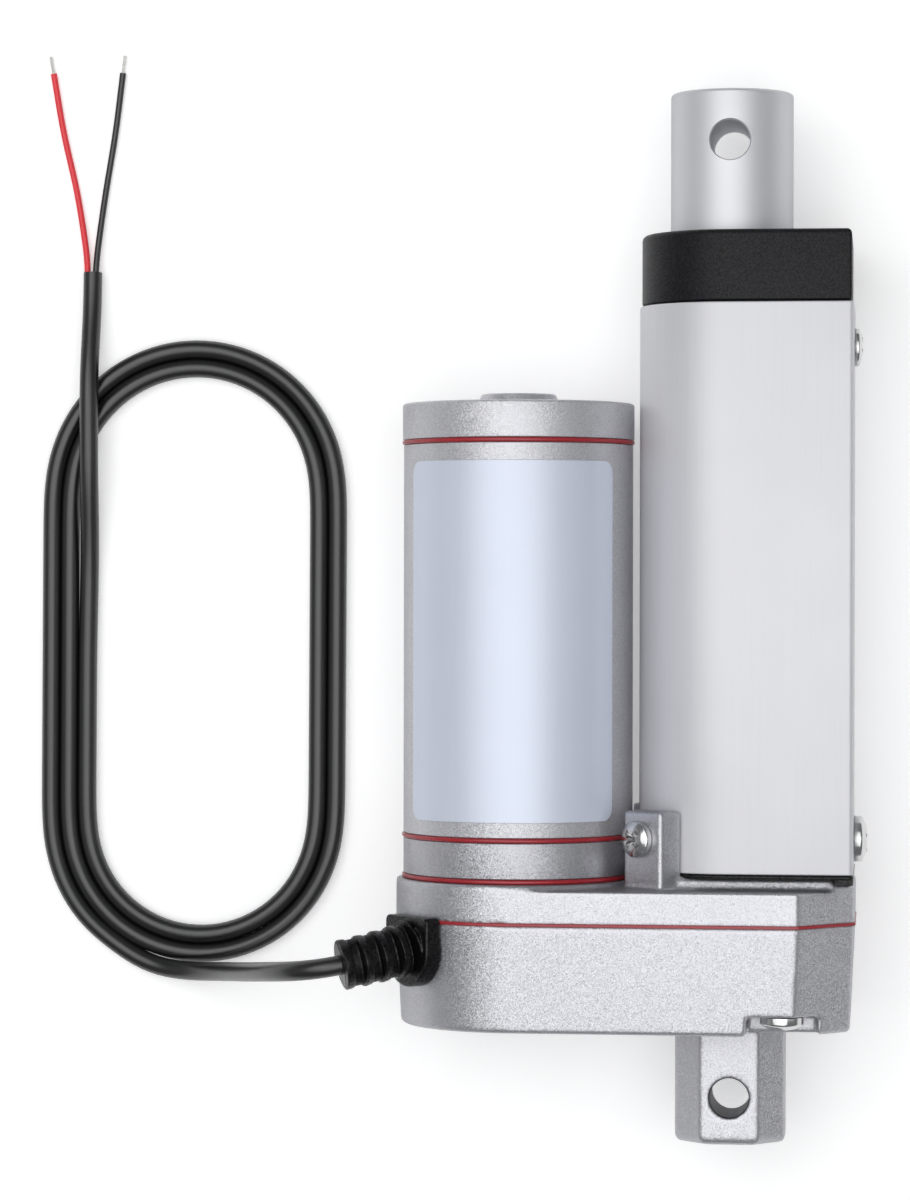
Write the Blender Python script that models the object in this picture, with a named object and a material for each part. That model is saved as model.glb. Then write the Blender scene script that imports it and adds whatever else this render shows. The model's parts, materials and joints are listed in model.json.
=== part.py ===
"""Linear actuator with a parallel gearmotor, lying on its back.

+X runs from the motor to the tube, +Y is the way the rod extends and +Z is up, away from the table.
The origin is under the middle of the actuator's own box, on the table.
"""

import math

import bmesh
import bpy
from mathutils import Matrix, Vector

MM = 0.001

# Fits
SEAT_GAP = 0.25 * MM
RUNNING_GAP = 0.35 * MM
SCREW_HOLE_GAP = 0.3 * MM
THREAD_RADIAL_GAP = 0.4 * MM
THREAD_AXIAL_GAP = 0.2 * MM
CORD_GAP = 0.5 * MM

# Main sizes
GEARBOX_HALF_DEPTH = 20.0 * MM
MOTOR_INSET = 1.15 * MM
MOTOR_RADIUS = GEARBOX_HALF_DEPTH - MOTOR_INSET
TUBE_RADIUS = 15.0 * MM
TUBE_FLAT = 19.8 * MM
MOTOR_TUBE_GAP = 1.15 * MM
AXIS_SPACING = MOTOR_RADIUS + TUBE_RADIUS + MOTOR_TUBE_GAP

# Gear train, which sets the cavity
PRESSURE_ANGLE = math.radians(20.0)
PROFILE_SHIFT = 0.3
PINION_TEETH = 12
IDLER_TEETH = 36
SCREW_GEAR_TEETH = 40
GEAR_MODULE = 2 * AXIS_SPACING / (2 * PINION_TEETH + IDLER_TEETH + SCREW_GEAR_TEETH)
TIP_RELIEF = 0.15 * MM
GEAR_BACKLASH = 0.14 * MM
SCREW_GEAR_WIDTH = 6.5 * MM
IDLER_WHEEL_WIDTH = 4.2 * MM
GEAR_LEVEL_GAP = 1.2 * MM
IDLER_PIN_RADIUS = 1.5 * MM
IDLER_PIN_SEAT = 2.0 * MM
GEAR_WALL_GAP = 0.71 * MM
PINION_WALL_REACH = 6.2 * MM

# Gearbox casting
GEARBOX_OVERHANG = 0.5 * MM
GEARBOX_RIGHT_REACH = TUBE_FLAT + GEARBOX_OVERHANG
GEARBOX_CORNER_CHAMFER = 9.0 * MM
GEARBOX_DRAFT = 1.1 * MM
GEARBOX_EDGE_ROUND = 0.9 * MM
LOWER_HOUSING_HEIGHT = 16.5 * MM
HOUSING_FLOOR = 3.1 * MM
UPPER_PLATE_HEIGHT = 4.5 * MM
GASKET_THICKNESS = 0.5 * MM
CAVITY_RADIUS = GEAR_MODULE * (SCREW_GEAR_TEETH / 2 + 1 - PROFILE_SHIFT) + GEAR_WALL_GAP
CAVITY_LEFT_CENTRE = CAVITY_RADIUS - PINION_WALL_REACH
MOTOR_BOSS_HEIGHT = 1.2 * MM
PAD_HEIGHT = 1.9 * MM
PAD_LEFT = 8.2 * MM
PAD_RIGHT_INSET = 2.3 * MM
PAD_RIGHT = TUBE_FLAT - PAD_RIGHT_INSET
PAD_FRONT_INSET = 2.4 * MM
PAD_HALF_DEPTH = GEARBOX_HALF_DEPTH - PAD_FRONT_INSET
SPIGOT_HEIGHT = 12.1 * MM

# Rear eye
EYE_WIDTH = 18.0 * MM
EYE_THICKNESS = 13.0 * MM
EYE_CHAMFER = 4.0 * MM
EYE_END = 7.7 * MM
EYE_NECK = 11.9 * MM
EYE_ROUND = 1.5 * MM
PIN_HOLE_RADIUS = 3.2 * MM

# Lugs that clamp the tube, with the corner edge turned to the front
LUG_ANGLE = math.radians(41.0)
LUG_CORNER_X = 24.4 * MM
LUG_FRONT_INSET = 3.1 * MM
LUG_CORNER_HEIGHT = GEARBOX_HALF_DEPTH - LUG_FRONT_INSET
LUG_FACE_WIDTH = 8.4 * MM
LUG_DEPTH = 8.6 * MM
LUG_HEIGHT = 13.0 * MM
LUG_SCREW_FROM_CORNER = 4.8 * MM
LUG_SCREW_HEIGHT = 8.5 * MM

# Tube, front cap and rod
TUBE_CORNER = 2.0 * MM
TUBE_WALL = 2.0 * MM
TUBE_LENGTH = 91.7 * MM
SEAL_THICKNESS = 0.6 * MM
CAP_HEIGHT = 11.4 * MM
CAP_INSET = 0.35 * MM
CAP_ROUND = 1.2 * MM
CAP_SPIGOT_HEIGHT = 13.0 * MM
CAP_BORE_RADIUS = 12.1 * MM
WIPER_HEIGHT = 3.2 * MM
ROD_RADIUS = 10.0 * MM
ROD_BORE_RADIUS = 7.0 * MM
ROD_STICKOUT = 14.8 * MM
ROD_END = 8.3 * MM
ROD_END_WALL = 9.0 * MM
ROD_EDGE_ROUND = 1.2 * MM
PIN_HOLE_CHAMFER = 0.5 * MM
STROKE = 50.0 * MM

# Lead screw, nut and bearing
THREAD_PITCH = 3.0 * MM
THREAD_MAJOR = 5.0 * MM
THREAD_MINOR = 3.25 * MM
THREAD_FLANK = math.radians(15.0)
THREAD_STEPS = 10
THREAD_FADE_STEPS = 5
SCREW_JOURNAL = 4.0 * MM
SCREW_COLLAR = 5.6 * MM
SCREW_COLLAR_HEIGHT = 2.0 * MM
SCREW_TIP_JOURNAL = 2.85 * MM
SCREW_TIP_DEPTH = 4.4 * MM
NUT_FLANGE_HEIGHT = 10.0 * MM
NUT_NECK_HEIGHT = 8.0 * MM
NUT_REST_GAP = 2.0 * MM
BEARING_WIDTH = 7.0 * MM
BEARING_OUTER = 11.0 * MM
BEARING_OUTER_LIP = 8.9 * MM
BEARING_INNER_LIP = 6.1 * MM
BEARING_SHOULDER = 0.7 * MM
RING_THICKNESS = 1.2 * MM
LOWER_BUSH_WALL = 1.5 * MM

# Motor
MOTOR_CAP_LIP = 0.2 * MM
MOTOR_CAP_RADIUS = MOTOR_RADIUS + MOTOR_CAP_LIP
MOTOR_WALL = 1.65 * MM
MOTOR_FLANGE_HEIGHT = 5.6 * MM
MOTOR_CAN_LENGTH = 63.3 * MM
MOTOR_CAP_HEIGHT = 5.9 * MM
MOTOR_BOSS_RADIUS = 6.1 * MM
MOTOR_REAR_BOSS_HEIGHT = 1.6 * MM
MOTOR_PILOT_RADIUS = 6.8 * MM
MOTOR_PILOT_DEPTH = 4.0 * MM
RING_GASKET_PROUD = 0.25 * MM
RING_GASKET_WIDTH = 2.0 * MM
SHAFT_RADIUS = 2.0 * MM
BUSH_WALL = 2.2 * MM
ARMATURE_LENGTH = 35.0 * MM
ARMATURE_SLOTS = 5
WINDING_LENGTH = 6.0 * MM
COMMUTATOR_RADIUS = 5.0 * MM
COMMUTATOR_LENGTH = 7.0 * MM
BRUSH_PLATE_THICKNESS = 1.6 * MM
BRUSH_SIZE = 4.0 * MM
MAGNET_THICKNESS = 3.6 * MM
MAGNET_AIR_GAP = 0.75 * MM
ARMATURE_RADIUS = MOTOR_RADIUS - MOTOR_WALL - SEAT_GAP - MAGNET_THICKNESS - MAGNET_AIR_GAP
WINDING_INSET = 1.6 * MM
WINDING_RADIUS = ARMATURE_RADIUS - WINDING_INSET
MAGNET_LENGTH = 44.0 * MM
MAGNET_HALF_ANGLE = math.radians(58.0)
TIE_BOLT_INSET = 3.85 * MM
TIE_BOLT_CIRCLE = MOTOR_RADIUS - TIE_BOLT_INSET
TIE_BOLT_RADIUS = 1.4 * MM
TIE_BOLT_HEAD = (2.6 * MM, 2.0 * MM)
TIE_BOLT_SEAT_WALL = 1.8 * MM
LABEL_GAP = 0.2 * MM
LABEL_THICKNESS = 0.15 * MM
LABEL_LEFT = math.radians(64.0)
LABEL_RIGHT = math.radians(54.0)
LABEL_BOTTOM = 2.4 * MM
LABEL_TOP = 2.8 * MM
LABEL_CORNER = 2.0 * MM

# Limit switches
BOARD_THICKNESS = 1.3 * MM
BOARD_HALF_WIDTH = 5.0 * MM
SWITCH_HEIGHT = 3.4 * MM
SWITCH_LENGTH = 8.0 * MM
SWITCH_HALF_WIDTH = 3.0 * MM
SWITCH_FROM_END = 4.0 * MM

# Screws: head radius, head height, shank radius
SMALL_SCREW = (3.1 * MM, 1.1 * MM, 1.5 * MM)
LARGE_SCREW = (3.75 * MM, 2.0 * MM, 1.9 * MM)
LUG_SCREW = (2.95 * MM, 1.7 * MM, 1.5 * MM)
HOUSING_SCREW = (3.5 * MM, 2.2 * MM, 1.9 * MM)
CROSS_RECESS_WIDTH = 0.7 * MM
CROSS_RECESS_DEPTH = 0.8 * MM
SCREW_TIP_WALL = 0.9 * MM
CAP_SCREW_FROM_TUBE_END = 6.6 * MM
TUBE_SCREW_FROM_TUBE_END = 5.0 * MM
HOUSING_SCREW_LENGTH = 17.8 * MM
POCKET_WIDTH = 11.3 * MM
POCKET_HEIGHT = 2.6 * MM
RIGHT_SCREW_INSET = 11.55 * MM
RIGHT_SCREW_X = GEARBOX_RIGHT_REACH - RIGHT_SCREW_INSET
RIGHT_SCREW_FRONT_INSET = 4.5 * MM
RIGHT_SCREW_DEPTH = GEARBOX_HALF_DEPTH - RIGHT_SCREW_FRONT_INSET
LEFT_SCREW_INSET = 5.15 * MM
LEFT_SCREW_OFFSET = (GEARBOX_HALF_DEPTH - LEFT_SCREW_INSET) * math.sqrt(0.5)

# Cable gland and cord
GLAND_ANGLE = math.radians(51.0)
GLAND_FLANGE_WIDTH = 11.0 * MM
GLAND_FLANGE_HEIGHT = 11.4 * MM
GLAND_FLANGE_THICKNESS = 2.5 * MM
GLAND_LENGTH = 11.0 * MM
GLAND_BASE_RADIUS = 4.4 * MM
GLAND_TIP_RADIUS = 4.1 * MM
GLAND_GROOVE = 0.9 * MM
GLAND_RIBS = 4
GLAND_RIB_SHAPE = ((0.05, GLAND_GROOVE), (0.3, GLAND_GROOVE), (0.42, 0), (1.0, 0))
GLAND_TURN = math.radians(11.0)
GLAND_DROOP = math.radians(14.0)
GLAND_SIDES = 12
GLAND_BELOW_GASKET = 3.4 * MM
CORD_RADIUS = 1.4 * MM
HANK_PITCH = 3.35 * MM
HANK_HALF_WIDTH = 26.5 * MM
HANK_STRAIGHT = 54.6 * MM
HANK_POINTS_PER_TURN = 24
HANK_FIRST_POINT = 2
HANK_LAST_POINT = 54
HANK_QUARTER_ARC = 5 / HANK_POINTS_PER_TURN
HANK_CENTRE_X = -75.0 * MM
HANK_CENTRE_Y = -7.1 * MM
TAIL_END_Y = 58.7 * MM
LEAD_ROUTE = (
    (-52.8, -56.8, 39.6), (-58.0, -57.6, 32.5), (-63.8, -58.8, 21.5), (-69.7, -60.0, 11.0), (-76.5, -60.9, 4.2),
)
TAIL_ROUTE = ((8.0, 1.4), (15.5, 3.0), (24.0, 4.9), (32.0, 4.9), (41.0, 4.9), (49.0, 2.7), (55.0, 1.4))
WIRE_RADIUS = 0.7 * MM
WIRE_TIP_RADIUS = 0.4 * MM
WIRE_TIP_LENGTH = 2.8 * MM
WIRE_LENGTH = 34.2 * MM
WIRE_ROUTE = ((0, 0), (0.1, 0.015), (0.4, 0.28), (0.7, 0.68), (1.0, 1.0))
RED_WIRE_SPREAD = 5.5 * MM
BLACK_WIRE_SPREAD = 4.7 * MM

ROUND_SEGMENTS = 32
SMALL_SEGMENTS = 14
SCREW_SEGMENTS = 12
SHARP_ANGLE = math.radians(40.0)

# Levels along Y, counted from the rear eye's hole
LOWER_BOTTOM = EYE_NECK
LOWER_TOP = LOWER_BOTTOM + LOWER_HOUSING_HEIGHT
CAVITY_FLOOR = LOWER_BOTTOM + HOUSING_FLOOR
GASKET_BOTTOM = LOWER_TOP + SEAT_GAP
UPPER_BOTTOM = GASKET_BOTTOM + GASKET_THICKNESS + SEAT_GAP
UPPER_TOP = UPPER_BOTTOM + UPPER_PLATE_HEIGHT
SPIGOT_TOP = UPPER_TOP + SPIGOT_HEIGHT
SEAL_BOTTOM = UPPER_TOP + PAD_HEIGHT + SEAT_GAP
TUBE_BOTTOM = SEAL_BOTTOM + SEAL_THICKNESS + SEAT_GAP
TUBE_TOP = TUBE_BOTTOM + TUBE_LENGTH
CAP_BOTTOM = TUBE_TOP + SEAT_GAP
CAP_TOP = CAP_BOTTOM + CAP_HEIGHT
CAP_SPIGOT_BOTTOM = TUBE_TOP - CAP_SPIGOT_HEIGHT
ROD_HOLE = CAP_TOP + ROD_STICKOUT
ROD_TOP = ROD_HOLE + ROD_END
ROD_BORE_TOP = ROD_HOLE - ROD_END_WALL
BEARING_FLOOR = UPPER_TOP + BEARING_SHOULDER
BEARING_BOTTOM = BEARING_FLOOR + SEAT_GAP
BEARING_TOP = BEARING_BOTTOM + BEARING_WIDTH
COLLAR_BOTTOM = BEARING_TOP + SEAT_GAP
COLLAR_TOP = COLLAR_BOTTOM + SCREW_COLLAR_HEIGHT
NUT_BOTTOM = SPIGOT_TOP + NUT_REST_GAP
NUT_SHOULDER = NUT_BOTTOM + NUT_FLANGE_HEIGHT
NUT_TOP = NUT_SHOULDER + NUT_NECK_HEIGHT
ROD_BOTTOM = NUT_SHOULDER + SEAT_GAP
SCREW_GEAR_BOTTOM = CAVITY_FLOOR + GEAR_LEVEL_GAP
SCREW_GEAR_TOP = SCREW_GEAR_BOTTOM + SCREW_GEAR_WIDTH
IDLER_WHEEL_BOTTOM = SCREW_GEAR_TOP + GEAR_LEVEL_GAP
IDLER_WHEEL_TOP = IDLER_WHEEL_BOTTOM + IDLER_WHEEL_WIDTH
MOTOR_SEAT = UPPER_TOP + MOTOR_BOSS_HEIGHT
FLANGE_GASKET_BOTTOM = MOTOR_SEAT + SEAT_GAP
FLANGE_BOTTOM = FLANGE_GASKET_BOTTOM + GASKET_THICKNESS + SEAT_GAP
FLANGE_TOP = FLANGE_BOTTOM + MOTOR_FLANGE_HEIGHT
FRONT_GASKET_BOTTOM = FLANGE_TOP + SEAT_GAP
CAN_BOTTOM = FRONT_GASKET_BOTTOM + GASKET_THICKNESS + SEAT_GAP
CAN_TOP = CAN_BOTTOM + MOTOR_CAN_LENGTH
CAP_GASKET_BOTTOM = CAN_TOP + SEAT_GAP
REAR_CAP_BOTTOM = CAP_GASKET_BOTTOM + GASKET_THICKNESS + SEAT_GAP
REAR_CAP_TOP = REAR_CAP_BOTTOM + MOTOR_CAP_HEIGHT
ARMATURE_BOTTOM = (CAN_BOTTOM + CAN_TOP - ARMATURE_LENGTH) / 2
ARMATURE_TOP = ARMATURE_BOTTOM + ARMATURE_LENGTH
COMMUTATOR_BOTTOM = ARMATURE_TOP + SEAT_GAP + WINDING_LENGTH + SEAT_GAP
COMMUTATOR_TOP = COMMUTATOR_BOTTOM + COMMUTATOR_LENGTH
THREAD_START = COLLAR_TOP + THREAD_PITCH * 0.6
THREAD_TURNS = math.ceil((NUT_TOP + STROKE + THREAD_PITCH - THREAD_START) / THREAD_PITCH)

# Places across the actuator
REACH_RIGHT = AXIS_SPACING + TUBE_FLAT + SEAT_GAP + LARGE_SCREW[1]
MOTOR_X = (GEARBOX_HALF_DEPTH - REACH_RIGHT) / 2
ROD_X = MOTOR_X + AXIS_SPACING
IDLER_X = MOTOR_X + GEAR_MODULE * (PINION_TEETH + IDLER_TEETH) / 2
AXIS_Z = GEARBOX_HALF_DEPTH
EYE_Y = (EYE_END - ROD_TOP) / 2
THREAD_PITCH_RADIUS = THREAD_MAJOR - THREAD_PITCH / 4
NUT_FLAT = TUBE_FLAT - TUBE_WALL - RUNNING_GAP
SWITCH_FACE = TUBE_FLAT - TUBE_WALL - 2 * SEAT_GAP - BOARD_THICKNESS - SWITCH_HEIGHT
GLAND_LEVEL = LOWER_TOP - GLAND_BELOW_GASKET
MOTOR = (MOTOR_X, 0, 0)
ROD = (ROD_X, 0, 0)
IDLER = (IDLER_X, 0, 0)
LUG_SEAT_X = LUG_CORNER_X - LUG_SCREW_FROM_CORNER * math.cos(LUG_ANGLE) - AXIS_SPACING
LUG_SEAT_Z = LUG_CORNER_HEIGHT - LUG_SCREW_FROM_CORNER * math.sin(LUG_ANGLE)
LUG_SCREW_LEVEL = UPPER_TOP + LUG_SCREW_HEIGHT
TUBE_SCREW_LEVEL = TUBE_BOTTOM + TUBE_SCREW_FROM_TUBE_END
CAP_SCREW_LEVEL = TUBE_TOP - CAP_SCREW_FROM_TUBE_END
FLAT_SEAT = TUBE_FLAT + SEAT_GAP
TUBE_SCREW_LENGTH = FLAT_SEAT - BEARING_OUTER - SEAT_GAP - SCREW_TIP_WALL
CAP_SCREW_LENGTH = FLAT_SEAT - CAP_BORE_RADIUS - SCREW_TIP_WALL
HOUSING_SEAT = LOWER_BOTTOM + POCKET_HEIGHT
TIE_BOLT_BOTTOM = UPPER_BOTTOM + TIE_BOLT_SEAT_WALL
TIE_BOLT_SEAT = REAR_CAP_TOP - TIE_BOLT_HEAD[1] - 2 * SEAT_GAP

# Finishes: colour, roughness, metallic
CAST = ((0.66, 0.66, 0.70), 0.45, 0.8)
STEEL = ((0.62, 0.62, 0.65), 0.28, 1.0)
ANODISED = ((0.72, 0.72, 0.75), 0.5, 0.7)
ZINC = ((0.75, 0.76, 0.78), 0.2, 1.0)
SILICONE = ((0.5, 0.05, 0.06), 0.5, 0.0)
BLACK_PLASTIC = ((0.02, 0.02, 0.024), 0.55, 0.0)
BLACK_RUBBER = ((0.012, 0.012, 0.014), 0.6, 0.0)
JACKET = ((0.025, 0.025, 0.026), 0.4, 0.0)
FOIL = ((0.68, 0.74, 0.85), 0.35, 0.2)
BRONZE = ((0.55, 0.38, 0.2), 0.4, 0.9)
COPPER = ((0.72, 0.32, 0.16), 0.35, 1.0)
NYLON = ((0.75, 0.73, 0.66), 0.5, 0.0)
FERRITE = ((0.05, 0.05, 0.055), 0.6, 0.0)
CARBON = ((0.03, 0.03, 0.03), 0.5, 0.2)
BOARD = ((0.03, 0.18, 0.08), 0.5, 0.0)
RED_PVC = ((0.7, 0.03, 0.04), 0.4, 0.0)
TIN = ((0.7, 0.7, 0.7), 0.3, 1.0)


# Meshes

def revolve(profile, segments):
    """Turn a closed outline of (radius, along) pairs about the Y axis."""
    shape = bmesh.new()
    points = [shape.verts.new((radius, along, 0)) for radius, along in profile]
    edges = []
    for first, second in zip(points, points[1:] + points[:1]):
        if first.co.x > 0 or second.co.x > 0:
            edges.append(shape.edges.new((first, second)))
    turn = {"cent": (0, 0, 0), "axis": (0, 1, 0), "angle": math.tau, "steps": segments, "use_merge": True}
    bmesh.ops.spin(shape, geom=points + edges, **turn)
    bmesh.ops.remove_doubles(shape, verts=shape.verts, dist=0.001 * MM)
    return shape


def loft(rings, endless=False):
    """Bridge rings of equal count, with a cap at each end or back round to the first ring."""
    shape = bmesh.new()
    loops = [[shape.verts.new(point) for point in ring] for ring in rings]
    count = len(loops[0])
    pairs = list(zip(loops, loops[1:]))
    if endless:
        pairs.append((loops[-1], loops[0]))
    else:
        shape.faces.new(loops[0])
        shape.faces.new(loops[-1])
    for lower, upper in pairs:
        for here in range(count):
            there = (here + 1) % count
            shape.faces.new((lower[here], lower[there], upper[there], upper[here]))
    return shape


def level(outline, along):
    return [(x, along, z) for x, z in outline]


def prism(outline, start, end):
    return loft([level(outline, start), level(outline, end)])


def cylinder(radius, start, end, segments=SMALL_SEGMENTS):
    return revolve([(0, start), (radius, start), (radius, end), (0, end)], segments)


def tube(inner, outer, start, end, segments=ROUND_SEGMENTS):
    return revolve([(inner, start), (outer, start), (outer, end), (inner, end)], segments)


def arc(centre_x, centre_z, radius, start, end, steps):
    angles = [start + (end - start) * step / steps for step in range(steps + 1)]
    return [(centre_x + radius * math.cos(a), centre_z + radius * math.sin(a)) for a in angles]


def d_outline(inset):
    """The tube's outline about the rod axis: half round towards the motor, flat on the other side."""
    radius = TUBE_RADIUS - inset
    corner = max(TUBE_CORNER - inset, TUBE_CORNER / 4)
    right = TUBE_FLAT - inset - corner
    points = arc(0, 0, radius, math.pi / 2, 3 * math.pi / 2, 16)
    points += arc(right, corner - radius, corner, -math.pi / 2, 0, 3)
    points += arc(right, radius - corner, corner, 0, math.pi / 2, 3)
    return points


def gearbox_outline(inset):
    """The gearbox outline about the motor axis: a round end at the motor, chamfered corners at the tube."""
    depth = GEARBOX_HALF_DEPTH - inset
    right = AXIS_SPACING + GEARBOX_RIGHT_REACH - inset
    chamfer = GEARBOX_CORNER_CHAMFER
    points = arc(0, 0, depth, math.pi / 2, 3 * math.pi / 2, 20)
    points += [(right - chamfer, -depth), (right, chamfer - depth)]
    return points + [(right, depth - chamfer), (right - chamfer, depth)]


def cavity_outline(inset):
    """The gear cavity about the motor axis."""
    radius = CAVITY_RADIUS - inset
    left = arc(CAVITY_LEFT_CENTRE, 0, radius, math.pi / 2, 3 * math.pi / 2, 12)
    return left + arc(AXIS_SPACING, 0, radius, -math.pi / 2, math.pi / 2, 12)


def involute(angle):
    return math.tan(angle) - angle


def gear_tip(teeth, shift):
    return GEAR_MODULE * (teeth / 2 + 1 + shift) - max(shift, 0) / PROFILE_SHIFT * TIP_RELIEF


def gear_outline(teeth, shift, phase):
    """Four points a tooth on involute flanks, with a tooth centred at the phase angle."""
    pitch = GEAR_MODULE * teeth / 2
    base = pitch * math.cos(PRESSURE_ANGLE)
    tip = gear_tip(teeth, shift)
    root = pitch - GEAR_MODULE * (1.25 - shift)
    half_tooth = GEAR_MODULE * (math.pi / 4 + shift * math.tan(PRESSURE_ANGLE)) - GEAR_BACKLASH / 4
    flank = []
    for radius in (root, tip):
        slope = math.acos(min(base / radius, 1.0))
        flank.append((radius, half_tooth / pitch + involute(PRESSURE_ANGLE) - involute(slope)))
    points = []
    for tooth in range(teeth):
        middle = phase + math.tau * tooth / teeth
        for radius, half in flank:
            points.append((radius * math.cos(middle - half), radius * math.sin(middle - half)))
        for radius, half in reversed(flank):
            points.append((radius * math.cos(middle + half), radius * math.sin(middle + half)))
    return points


def thread(start, turns, minor, major, widen, lower_rings, upper_rings):
    """A right-hand thread about the Y axis, faded out at both ends, with turned rings of (radius, along)
    below and above it."""
    shape = bmesh.new()
    steps = turns * THREAD_STEPS
    half = {}
    for radius in (minor, major):
        half[radius] = THREAD_PITCH / 4 + (THREAD_PITCH_RADIUS - radius) * math.tan(THREAD_FLANK) + widen
    section = [(minor, -half[minor]), (major, -half[major]), (major, half[major]), (minor, half[minor])]

    def vertex(radius, step, along):
        angle = math.tau * step / THREAD_STEPS
        return shape.verts.new((radius * math.sin(angle), along, radius * math.cos(angle)))

    grid = []
    for step in range(steps + THREAD_STEPS + 1):
        fade = max(0.0, min(1.0, step / THREAD_FADE_STEPS, (steps - step) / THREAD_FADE_STEPS))
        middle = start + THREAD_PITCH * step / THREAD_STEPS
        row = []
        for radius, offset in section[: 4 if step <= steps else 1]:
            row.append(vertex(minor + (radius - minor) * fade, step, middle + offset))
        grid.append(row)
    for step, row in enumerate(grid[: steps + 1]):
        row.append(grid[step + THREAD_STEPS][0])
    for here, there in zip(grid[:steps], grid[1 : steps + 1]):
        for side in range(4):
            shape.faces.new((here[side], there[side], there[side + 1], here[side + 1]))

    def turned(rings):
        return [[vertex(radius, step, along) for step in range(THREAD_STEPS)] for radius, along in rings]

    lower = turned(lower_rings)
    upper = turned(upper_rings)
    for loops in (lower, upper):
        for first, second in zip(loops, loops[1:]):
            for here in range(THREAD_STEPS):
                there = (here + 1) % THREAD_STEPS
                shape.faces.new((first[here], first[there], second[there], second[here]))
    for here in range(THREAD_STEPS - 1):
        shape.faces.new((lower[-1][here], lower[-1][here + 1], grid[here + 1][0], grid[here][0]))
    last = THREAD_STEPS - 1
    shape.faces.new([lower[-1][last], lower[-1][0]] + grid[0][:4] + [grid[last + 1][0], grid[last][0]])
    ends = [row[0] for row in grid[steps:]]
    shape.faces.new([ends[1], ends[0]] + grid[steps][1:] + [upper[0][0], upper[0][1]])
    for here in range(1, THREAD_STEPS):
        shape.faces.new((ends[here], ends[here + 1], upper[0][(here + 1) % THREAD_STEPS], upper[0][here]))
    shape.faces.new(lower[0])
    shape.faces.new(upper[-1])
    return shape


# Objects

def clear_scene():
    for old in list(bpy.data.objects):
        bpy.data.objects.remove(old, do_unlink=True)


def empty(name, parent, at):
    frame = bpy.data.objects.new(name, None)
    bpy.context.scene.collection.objects.link(frame)
    frame.parent = parent
    frame.location = at
    return frame


def new_material(name, finish):
    colour, roughness, metallic = finish
    surface = bpy.data.materials.new(name)
    surface.use_nodes = True
    shader = surface.node_tree.nodes["Principled BSDF"]
    shader.inputs["Base Color"].default_value = (*colour, 1.0)
    shader.inputs["Roughness"].default_value = roughness
    shader.inputs["Metallic"].default_value = metallic
    surface.diffuse_color = (*colour, 1.0)
    return surface


def new_mesh(name, shape):
    bmesh.ops.recalc_face_normals(shape, faces=shape.faces)
    mesh = bpy.data.meshes.new(name)
    shape.to_mesh(mesh)
    shape.free()
    mesh.shade_smooth()
    mesh.set_sharp_from_angle(angle=SHARP_ANGLE)
    return mesh


def put(name, data, parent, at, direction=None):
    """Link an object at a place in its parent's frame, with its own Y axis along the direction."""
    piece = bpy.data.objects.new(name, data)
    bpy.context.scene.collection.objects.link(piece)
    piece.parent = parent
    piece.location = at
    if direction:
        piece.rotation_euler = Vector((0, 1, 0)).rotation_difference(Vector(direction)).to_euler()
    return piece


def add(name, shape, finish, parent, at=(0, 0, 0), direction=None):
    piece = put(name, new_mesh(name, shape), parent, at, direction)
    piece.data.materials.append(new_material(name, finish))
    return piece


def helper(name, shape, parent, at=(0, 0, 0), direction=None):
    tool = put(name, new_mesh(name, shape), parent, at, direction)
    tool.hide_render = True
    tool.display_type = "WIRE"
    return tool


def combine(piece, tool, operation):
    change = piece.modifiers.new(tool.name, "BOOLEAN")
    change.operation = operation
    change.solver = "EXACT"
    change.object = tool


def cut(piece, tool):
    combine(piece, tool, "DIFFERENCE")


def join(piece, tool):
    combine(piece, tool, "UNION")


def drill(piece, name, radius, start, end, parent, at, direction=None):
    cut(piece, helper(f"{piece.name}_{name}", cylinder(radius, start, end), parent, at, direction))


def drill_stepped(piece, name, radii, stops, parent, at, segments=SMALL_SEGMENTS):
    """Cut two bores on one axis along Y: the first radius to the middle stop, the second beyond it."""
    near, far = radii
    start, step, end = stops
    profile = [(0, start), (near, start), (near, step), (far, step), (far, end), (0, end)]
    cut(piece, helper(f"{piece.name}_{name}", revolve(profile, segments), parent, at))


def screw_mesh(name, size, length):
    """A pan-head screw along Y with its seat at zero, its head above and a cross recess."""
    head, height, shank = size
    profile = [(0, -length), (shank, -length), (shank, 0), (head, 0), (head, height * 0.4)]
    profile += [(head * 0.88, height * 0.75), (head * 0.6, height * 0.95), (0, height)]
    body = put(name, new_mesh(name, revolve(profile, SCREW_SEGMENTS)), None, (0, 0, 0))
    arm = head * 0.55
    half = CROSS_RECESS_WIDTH / 2
    corner = [(half, half), (half, arm), (-half, arm)]
    plus = []
    for quarter in range(4):
        turn = Matrix.Rotation(math.pi / 2 * quarter, 2)
        plus += [tuple(turn @ Vector(point)) for point in corner]
    recess = prism(plus, height - CROSS_RECESS_DEPTH, height + CROSS_RECESS_DEPTH)
    tool = helper(f"{name}_recess", recess, None)
    cut(body, tool)
    bpy.context.view_layer.update()
    made = body.evaluated_get(bpy.context.evaluated_depsgraph_get())
    mesh = bpy.data.meshes.new_from_object(made)
    for used in (body, tool):
        bpy.data.objects.remove(used)
    mesh.materials.append(new_material(name, ZINC))
    return mesh


def lug_screw_length():
    """From the lug's face to the inside of the tube's wall, along the screw."""
    along = -LUG_SEAT_X * math.sin(LUG_ANGLE) + LUG_SEAT_Z * math.cos(LUG_ANGLE)
    aside = LUG_SEAT_X * math.cos(LUG_ANGLE) + LUG_SEAT_Z * math.sin(LUG_ANGLE)
    bore = TUBE_RADIUS - TUBE_WALL
    return along - math.sqrt(bore * bore - aside * aside) - SEAT_GAP


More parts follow.
